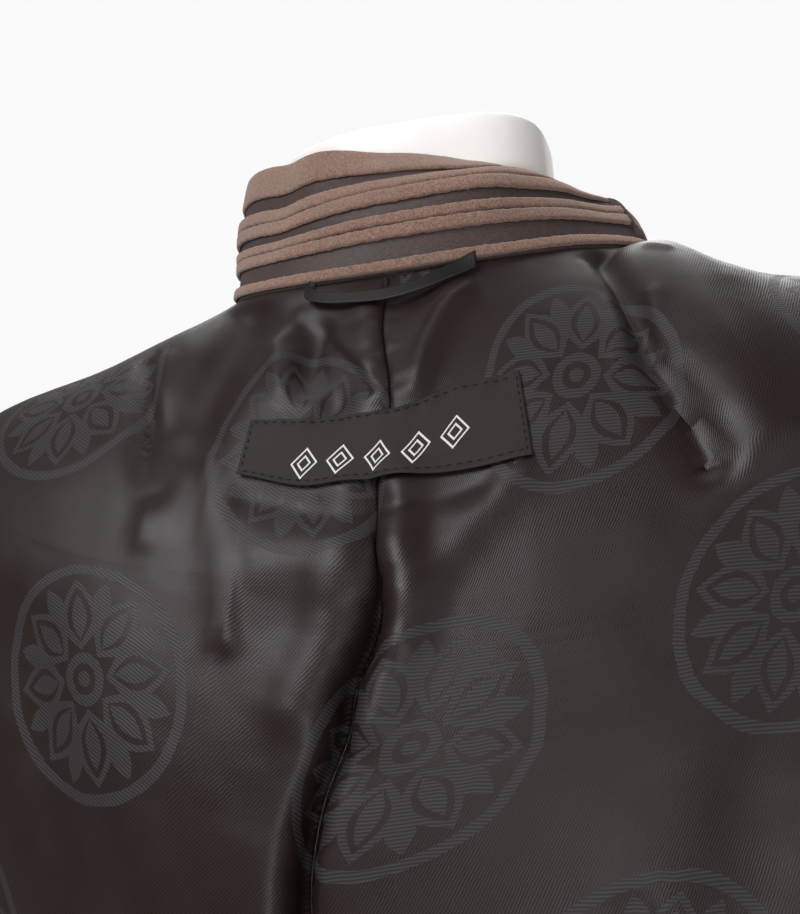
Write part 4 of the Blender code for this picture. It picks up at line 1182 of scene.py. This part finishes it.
def make_back(side_name, side):
    levels = jacket_levels(LINING_END, *LEVEL_STEPS["back"])
    from_seam = grow(*GRIDS["beside the seam"])
    from_seam[0] = HALF_GAP
    near = angle_at(levels, seam_at(levels) + side * from_seam)
    last = near[:, -1:]
    far = -side * edge_angle(levels, -ARMHOLE_BACK)
    steps = grow(*GRIDS["back"])
    shares = 1 - steps[::-1] / steps[-1]
    angles = np.hstack([near, last + (far - last) * shares[1:]])
    cloth("lining_back_" + side_name, jacket, angles, levels, LINING, seams="seb", relief=back_relief(side),
          straight=0, turned=side)


def front_relief(points, across, down):
    total = folds_at(points[..., 0], points[..., 2], FRONT_CREASES.values())
    return total + ripples(points, "front")


def make_front(side_name, side):
    """The front's lining and its wool facing."""
    levels = jacket_levels(LINING_END, *LEVEL_STEPS["front"])
    line = front_angle(levels, FACING_WIDTH) - FACING_GAP
    angles = -side * spread(edge_angle(levels, ARMHOLE_FRONT), line, "front")
    cloth("lining_front_" + side_name, jacket, angles, levels, LINING, seams="seb", relief=front_relief,
          straight=-1, turned=-side)
    levels = jacket_levels(HEM, *LEVEL_STEPS["front"])
    line = front_angle(levels, FACING_WIDTH) + FACING_GAP
    angles = -side * spread(line, front_angle(levels), "facing")
    cloth("facing_" + side_name, jacket, angles, levels, WOOL, seams="st", relief=rippled("facing"))


def make_hem(side_name, side):
    levels = down_from(HEM_START, HEM, "hem rows")
    start = angle_at(levels, seam_at(levels) + side * HALF_GAP)
    end = -side * (front_angle(levels, FACING_WIDTH) - FACING_GAP)
    cloth("hem_turnup_" + side_name, jacket, spread(start, end, "hem"), levels, WOOL, seams="set",
          relief=rippled("hem"))


def sleeve_relief(points, across, down):
    total = folds_at(points[..., 1], points[..., 2], SLEEVE_CREASES) * smooth_step(down / 0.03)
    fullness = np.sin(across * 2 * math.pi / FULLNESS_LENGTH) * fade(down, *FULLNESS)
    return total + fullness + ripples(points, "sleeve")


def full_turn(sides):
    return np.radians(np.linspace(0, 360, sides, endpoint=False))[None, :]


def make_sleeve(side_name, side):
    surface = sleeve(side)
    stations = down_from(0.0, CUFF_LEVEL, "sleeve rows")
    gap = math.degrees(HALF_GAP / 0.06)
    for part, start, end in (("upper", -UPPER_SLEEVE_REACH, UPPER_SLEEVE_REACH),
                             ("under", UPPER_SLEEVE_REACH, 360 - UPPER_SLEEVE_REACH)):
        turns = np.radians(spread(start + gap, end - gap, part))[None, :]
        cloth(f"sleeve_{part}_{side_name}", surface, turns, stations, LINING, mirror=side, seams="setb",
              relief=sleeve_relief, straight=turns.shape[1] // 2)
    rows = down_from(CUFF_START, CUFF_END, "cuff rows")
    cloth("cuff_" + side_name, surface, full_turn(120), rows, WOOL, mirror=side, seams="t", ring=True,
          relief=rippled("cuff"))


def ragged(angle, seed):
    """Small wandering of a band's edge."""
    slow = np.sin(angle * 61 + seed) + np.sin(angle * 143 + 2.3 * seed)
    return RAGGED * (slow + 0.8 * np.sin(angle * 317 + seed * 5))


def band_relief(width):
    def relief(points, across, down):
        """Padded between its two long edges, with the nap's soft unevenness."""
        middle = np.clip(down / width, 0, 1)
        return BAND_CROWN * (1 - (2 * middle - 1) ** 4) + ripples(points, "band")
    return relief


def make_collar():
    """The collar's satin, with its wool bands, their stitching and the hanger loop on it."""
    angles = np.radians(np.linspace(-COLLAR_END, COLLAR_END, 300))[None, :]
    on_it = [make_loop(), make_collar_stitches()]
    for seed, (name, (low, high)) in enumerate(COLLAR_BANDS.items()):
        start = low + BAND_GAP + ragged(angles, seed) * (1 if low > 0.001 else 0.4)
        end = high - BAND_GAP + (ragged(angles, seed + 9) if high < COLLAR_HEIGHT else 0)
        rows = start + (end - start) * both_ends(high - low, BAND_STEP)[:, None]
        on_it.append(cloth(name, collar, angles, rows, WOOL, sign=-1, thick=BAND_CLOTH, lift=BAND_CLOTH,
                           relief=band_relief(high - low)))
    rows = down_from(0.0, COLLAR_HEIGHT, "collar rows")
    cloth("collar", collar, angles, rows, SATIN, sign=-1, with_pieces=on_it,
          relief=rippled("collar"))


def make_loop():
    shares = spread(0, 1, "loop")[None, :]
    rows = down_from(-LOOP_WIDTH / 2, LOOP_WIDTH / 2, "loop rows")
    return cloth("hanger_loop", loop_surface, shares, rows, RIBBON, sign=-1,
                 lift=LOOP_LIFT)


def stitches(name, starts, ends, ups, radius, material, slot, sides=6, rings=5):
    """Short raised threads from each start to its end, joined in one mesh."""
    start, run, up = (vectors[:, None, None] for vectors in (starts, ends - starts, ups))
    across = unit(np.cross(run, up))
    share = np.linspace(0, 1, rings)[:, None, None]
    swell = np.sin(math.pi * share)
    turn = full_turn(sides).T
    middle = start + run * share + up * radius * (0.9 * swell - 0.5)
    ring = across * np.cos(turn) + up * np.sin(turn)
    return place(name, tube_mesh(name, middle + ring * radius * (0.35 + 0.65 * swell)), material)


def stitch_run(points, normals, length, gap):
    """Starts, ends and normals of stitches along a line of points."""
    places = arcs(points, 0)
    starts = np.arange(gap, places[-1] - length, length + gap)

    def at(values, where):
        return np.stack([np.interp(where, places, values[:, k]) for k in range(3)], -1)
    return at(points, starts), at(points, starts + length), at(normals, starts + length / 2)


def joined(runs):
    """The starts, ends and normals of several runs of stitches."""
    return [np.concatenate(parts) for parts in zip(*runs)]


def make_collar_stitches():
    """Stitches in the two grooves between paired bands."""
    angle = np.radians(np.linspace(-COLLAR_END, COLLAR_END, 900))
    runs = []
    for band in ("collar_band_lower_a", "collar_band_upper_a"):
        rows = np.full(angle.shape, COLLAR_BANDS[band][1])
        normals = outward(collar, angle, rows, -1)
        runs.append(stitch_run(collar(angle, rows) + normals * BAND_GROOVE, normals, *COLLAR_STITCH))
    return stitches("collar_band_stitches", *joined(runs), WOOL_THREAD, BROWN_THREAD, "wool")


def label_stitches(outer, normals):
    """Dark machine stitches a little inside the label's four edges."""
    rows, columns = outer.shape[:2]
    down = arcs(outer, 0)[:, columns // 2]
    across = arcs(outer, 1)[rows // 2]
    runs = []
    for share in LABEL_STITCH_ROWS:
        i = np.argmin(np.abs(down / down[-1] - share))
        runs.append(stitch_run(outer[i, 2:-2], normals[i, 2:-2], *LABEL_STITCH))
    for share in LABEL_STITCH_COLUMNS:
        j = np.argmin(np.abs(across / across[-1] - share))
        runs.append(stitch_run(outer[2:-2, j], normals[2:-2, j], *LABEL_END_STITCH))
    return [stitches("label_stitches", *joined(runs), LABEL_THREAD, DARK_THREAD, "label_cloth")]


def label_relief(points, across, down):
    """The label lies on the creased lining, lifts a little at its long edges and bends softly."""
    x, z = points[..., 0], points[..., 2]
    total = LABEL_FOLLOWS * folds_at(x, z, BACK_CREASES.values())
    total += fade(down, *LABEL_TOP_LIFT) + fade(down.max(0) - down, *LABEL_LOW_LIFT)
    share = down / down.max(0)
    for stitched in LABEL_STITCH_ROWS:
        total -= hump(share - stitched, *LABEL_SINK)
    total += np.sin(across * 2 * math.pi / LABEL_PUCKER_LENGTH + 4 * share) * fade(down, *LABEL_PUCKER)
    total += hump(x - read(BACK_SEAM, z)[0], *LABEL_OVER_SEAM)
    return total + ripples(points, "label")


def make_label():
    shares = spread(0, 1, "label")[None, :]
    rows = down_from(0, 1, "label rows")
    cloth("label", label_surface, shares, rows, LABEL, lift=LABEL_LIFT + LABEL_THICKNESS,
          relief=label_relief, sewn=label_stitches)


def make_form():
    """The form's body as one smooth skin through its rings, with a flat bottom and neck top."""
    angles = full_turn(FORM_SIDES)[0]
    centred = np.where(angles > math.pi, angles - 2 * math.pi, angles)
    rings = [form_low(angles, row) for row in FORM_ROWS]
    side_share = smooth_step((np.abs(np.sin(centred)) - 0.93) / 0.06)
    for level in FORM_LEVELS:
        at_back, at_side = read(FORM_CLEARANCE, level)
        clearance = CLOTH + FORM_GAP + at_back + (at_side - at_back) * side_share
        normals = outward(jacket_base, centred, level)
        rings.append(jacket_base(centred, level) - normals * clearance[:, None])
    seam = jacket_base(centred, 0)
    inward = unit((np.array([*NECK_CENTRE, 0]) - seam) * np.array([1, 1, 0]))
    foot = seam + inward * NECK_FOOT_INSET - UPRIGHT * NECK_FOOT_DROP
    base = neck_section(angles, NECK_BASE, 0)
    rings = np.array(rings + [foot, foot + (base - foot) * NECK_CURVE, base])
    gaps = np.linalg.norm(np.diff(rings, axis=0), axis=-1).mean(1)
    keys = np.concatenate([[0], np.cumsum(gaps)])
    where = np.unique(np.concatenate([keys, np.arange(0, keys[-1], FORM_STEP)]))
    skin = along(keys, rings.reshape(len(rings), -1), where).reshape(len(where), len(angles), 3)
    shoulder = NECK_TOP - NECK_EDGE
    turns = np.linspace(0, math.pi / 2, 7)
    neck = [(height, 0) for height in np.linspace(NECK_BASE, shoulder, 9)[1:-1]]
    neck += [(shoulder + NECK_EDGE * math.sin(turn), NECK_EDGE * (1 - math.cos(turn))) for turn in turns]
    neck += [(NECK_TOP, NECK_EDGE + inset) for inset in NECK_INSETS]
    skin = np.concatenate([skin, np.array([neck_section(angles, height, inset) for height, inset in neck])])
    place("form_body_smooth", tube_mesh("form_body_smooth", skin[None], 50), FORM_WHITE,
          ("form_body",))


def trouser_relief(side):
    def relief(points, across, down):
        """Pressed crease down each leg, soft folds at fork, knee and hem."""
        x, z = points[..., 0], points[..., 2]
        crease = fade(np.abs(x - PRESSED_AT), *PRESSED) * smooth_step((PRESSED_FROM - z) / 0.15)
        hang = ripples(points * np.array([side, 1, 1]), "leg")
        return folds_at(x, z, TROUSER_CREASES) + crease + hang + ripples(points, "trouser")
    return relief


def make_trousers():
    heights = down_from(TROUSER_TOP, TROUSER_BOTTOM, "trouser rows")
    for side_name, side in SIDE_NAMES.items():
        for part, direction in (("front", 1), ("back", -1)):
            turns = direction * spread(TROUSER_START, trouser_end(heights), "trouser")
            cloth(f"trouser_{part}_{side_name}", trouser_panel, turns, heights, WOOL, mirror=side, seams="se",
                  relief=trouser_relief(side))
    rows = down_from(WAISTBAND_TOP, WAISTBAND_BOTTOM, "waistband rows")
    cloth("waistband", form_low, full_turn(160), rows, WOOL, sign=-1, ring=True, lift=FORM_GAP + CLOTH,
          relief=rippled("waistband"))
    rows = np.linspace(FLY_TOP, FLY_BOTTOM, 60)[:, None]
    round_end = np.sqrt(np.clip(1 - np.clip((FLY_BEND - rows) / 0.024, 0, 1) ** 2, 0.02, 1))
    turns = trouser_end(rows) - FLY_ASIDE - FLY_TURN * round_end * spread(1, 0, "fly")
    cloth("fly", trouser, turns, rows, WOOL, thick=FLY_THICK, lift=FLY_LIFT)


def make_button():
    """Turned button with a raised rim, and thread crossed in its middle."""
    low, high = (np.array(corner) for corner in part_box("waist_button"))
    middle = (low + high) / 2
    radius, depth = (high[0] - low[0]) / 2, high[1] - low[1]
    turn = full_turn(48)
    share, rise = np.array(BUTTON_PROFILE).T[..., None]
    reach = radius * np.maximum(share, 0.002)
    rings = middle + np.stack([reach * np.cos(turn), -depth * rise + 0 * turn, reach * np.sin(turn)], -1)
    place("turned_button", tube_mesh("button", rings[None], 50), BUTTON_HORN, ("waist_button",))
    out = -BUTTON_FACE * depth
    lifts = (-BUTTON_THREAD, BUTTON_THREAD)
    across = [(hole, lift) for hole in (-BUTTON_HOLE, BUTTON_HOLE) for lift in lifts]
    starts = middle + np.array([(-BUTTON_HOLE, out, hole + lift) for hole, lift in across])
    ends = middle + np.array([(BUTTON_HOLE, out, lift - hole) for hole, lift in across])
    ups = np.array([(0.0, -1.0, 0.0)] * len(across))
    stitches("button_thread", starts, ends, ups, BUTTON_THREAD_RADIUS, DARK_THREAD, "button")


for side_name, side in SIDE_NAMES.items():
    make_back(side_name, side)
    make_front(side_name, side)
    make_hem(side_name, side)
    make_sleeve(side_name, side)
make_collar()
make_label()
make_trousers()
make_button()
make_form()
for name in ("form_pole", "form_base"):
    nodes[name].data.materials.clear()
    nodes[name].data.materials.append(METAL)


# Floor, light and camera

def area_light(name, place_at, aim, size, power):
    light = bpy.data.lights.new(name, "AREA")
    light.shape = "SQUARE"
    light.size = size
    light.energy = power
    lamp = bpy.data.objects.new(name, light)
    bpy.context.scene.collection.objects.link(lamp)
    lamp.location = place_at
    lamp.rotation_mode = "QUATERNION"
    lamp.rotation_quaternion = (Vector(aim) - Vector(place_at)).to_track_quat("-Z", "Y")


def backdrop(tree, shade, strength, background=None):
    """A background node of the world with its shade and strength."""
    background = background or tree.nodes.new("ShaderNodeBackground")
    background.inputs["Color"].default_value = (*shade, 1)
    background.inputs["Strength"].default_value = strength
    return background.outputs[0]


def make_stage():
    bpy.ops.mesh.primitive_circle_add(vertices=96, radius=6.0, fill_type="NGON", location=(0, 0, -0.0005))
    floor = bpy.context.object
    floor.name = "floor"
    floor.data.materials.append(plain_look("floor", (0.92, 0.92, 0.92), 0.8))
    for name, light in LIGHTS.items():
        area_light(name, *light)
    world = bpy.data.worlds.new("studio")
    bpy.context.scene.world = world
    world.use_nodes = True
    tree = world.node_tree
    both = tree.nodes.new("ShaderNodeMixShader")
    sources = (tree.nodes.new("ShaderNodeLightPath").outputs["Is Camera Ray"],
               backdrop(tree, (1.0, 0.95, 0.935), 0.22, tree.nodes["Background"]),
               backdrop(tree, (0.95, 0.95, 0.95), 1.0))
    for source, socket in zip(sources, both.inputs):
        tree.links.new(source, socket)
    tree.links.new(both.outputs[0], tree.nodes["World Output"].inputs["Surface"])
    bpy.context.scene.view_settings.view_transform = "Standard"


def make_camera():
    turn, pitch, roll = (math.radians(a) for a in (CAMERA_TURN, CAMERA_PITCH, CAMERA_ROLL))
    ahead = Vector((math.sin(turn) * math.cos(pitch), -math.cos(turn) * math.cos(pitch), math.sin(pitch)))
    right = ahead.cross(Vector((0, 0, 1))).normalized()
    up = right.cross(ahead)
    rolled_right = right * math.cos(roll) + up * math.sin(roll)
    rolled_up = up * math.cos(roll) - right * math.sin(roll)
    data = bpy.data.cameras.new("camera")
    data.sensor_width = SENSOR
    data.lens = SENSOR * FOCAL_PIXELS / PICTURE_HEIGHT
    data.clip_start = 0.01
    camera = bpy.data.objects.new("camera", data)
    bpy.context.scene.collection.objects.link(camera)
    axes = Matrix((rolled_right, rolled_up, -ahead)).transposed()
    camera.matrix_world = Matrix.Translation(CAMERA_AT) @ axes.to_4x4()
    bpy.context.scene.camera = camera


make_stage()
make_camera()
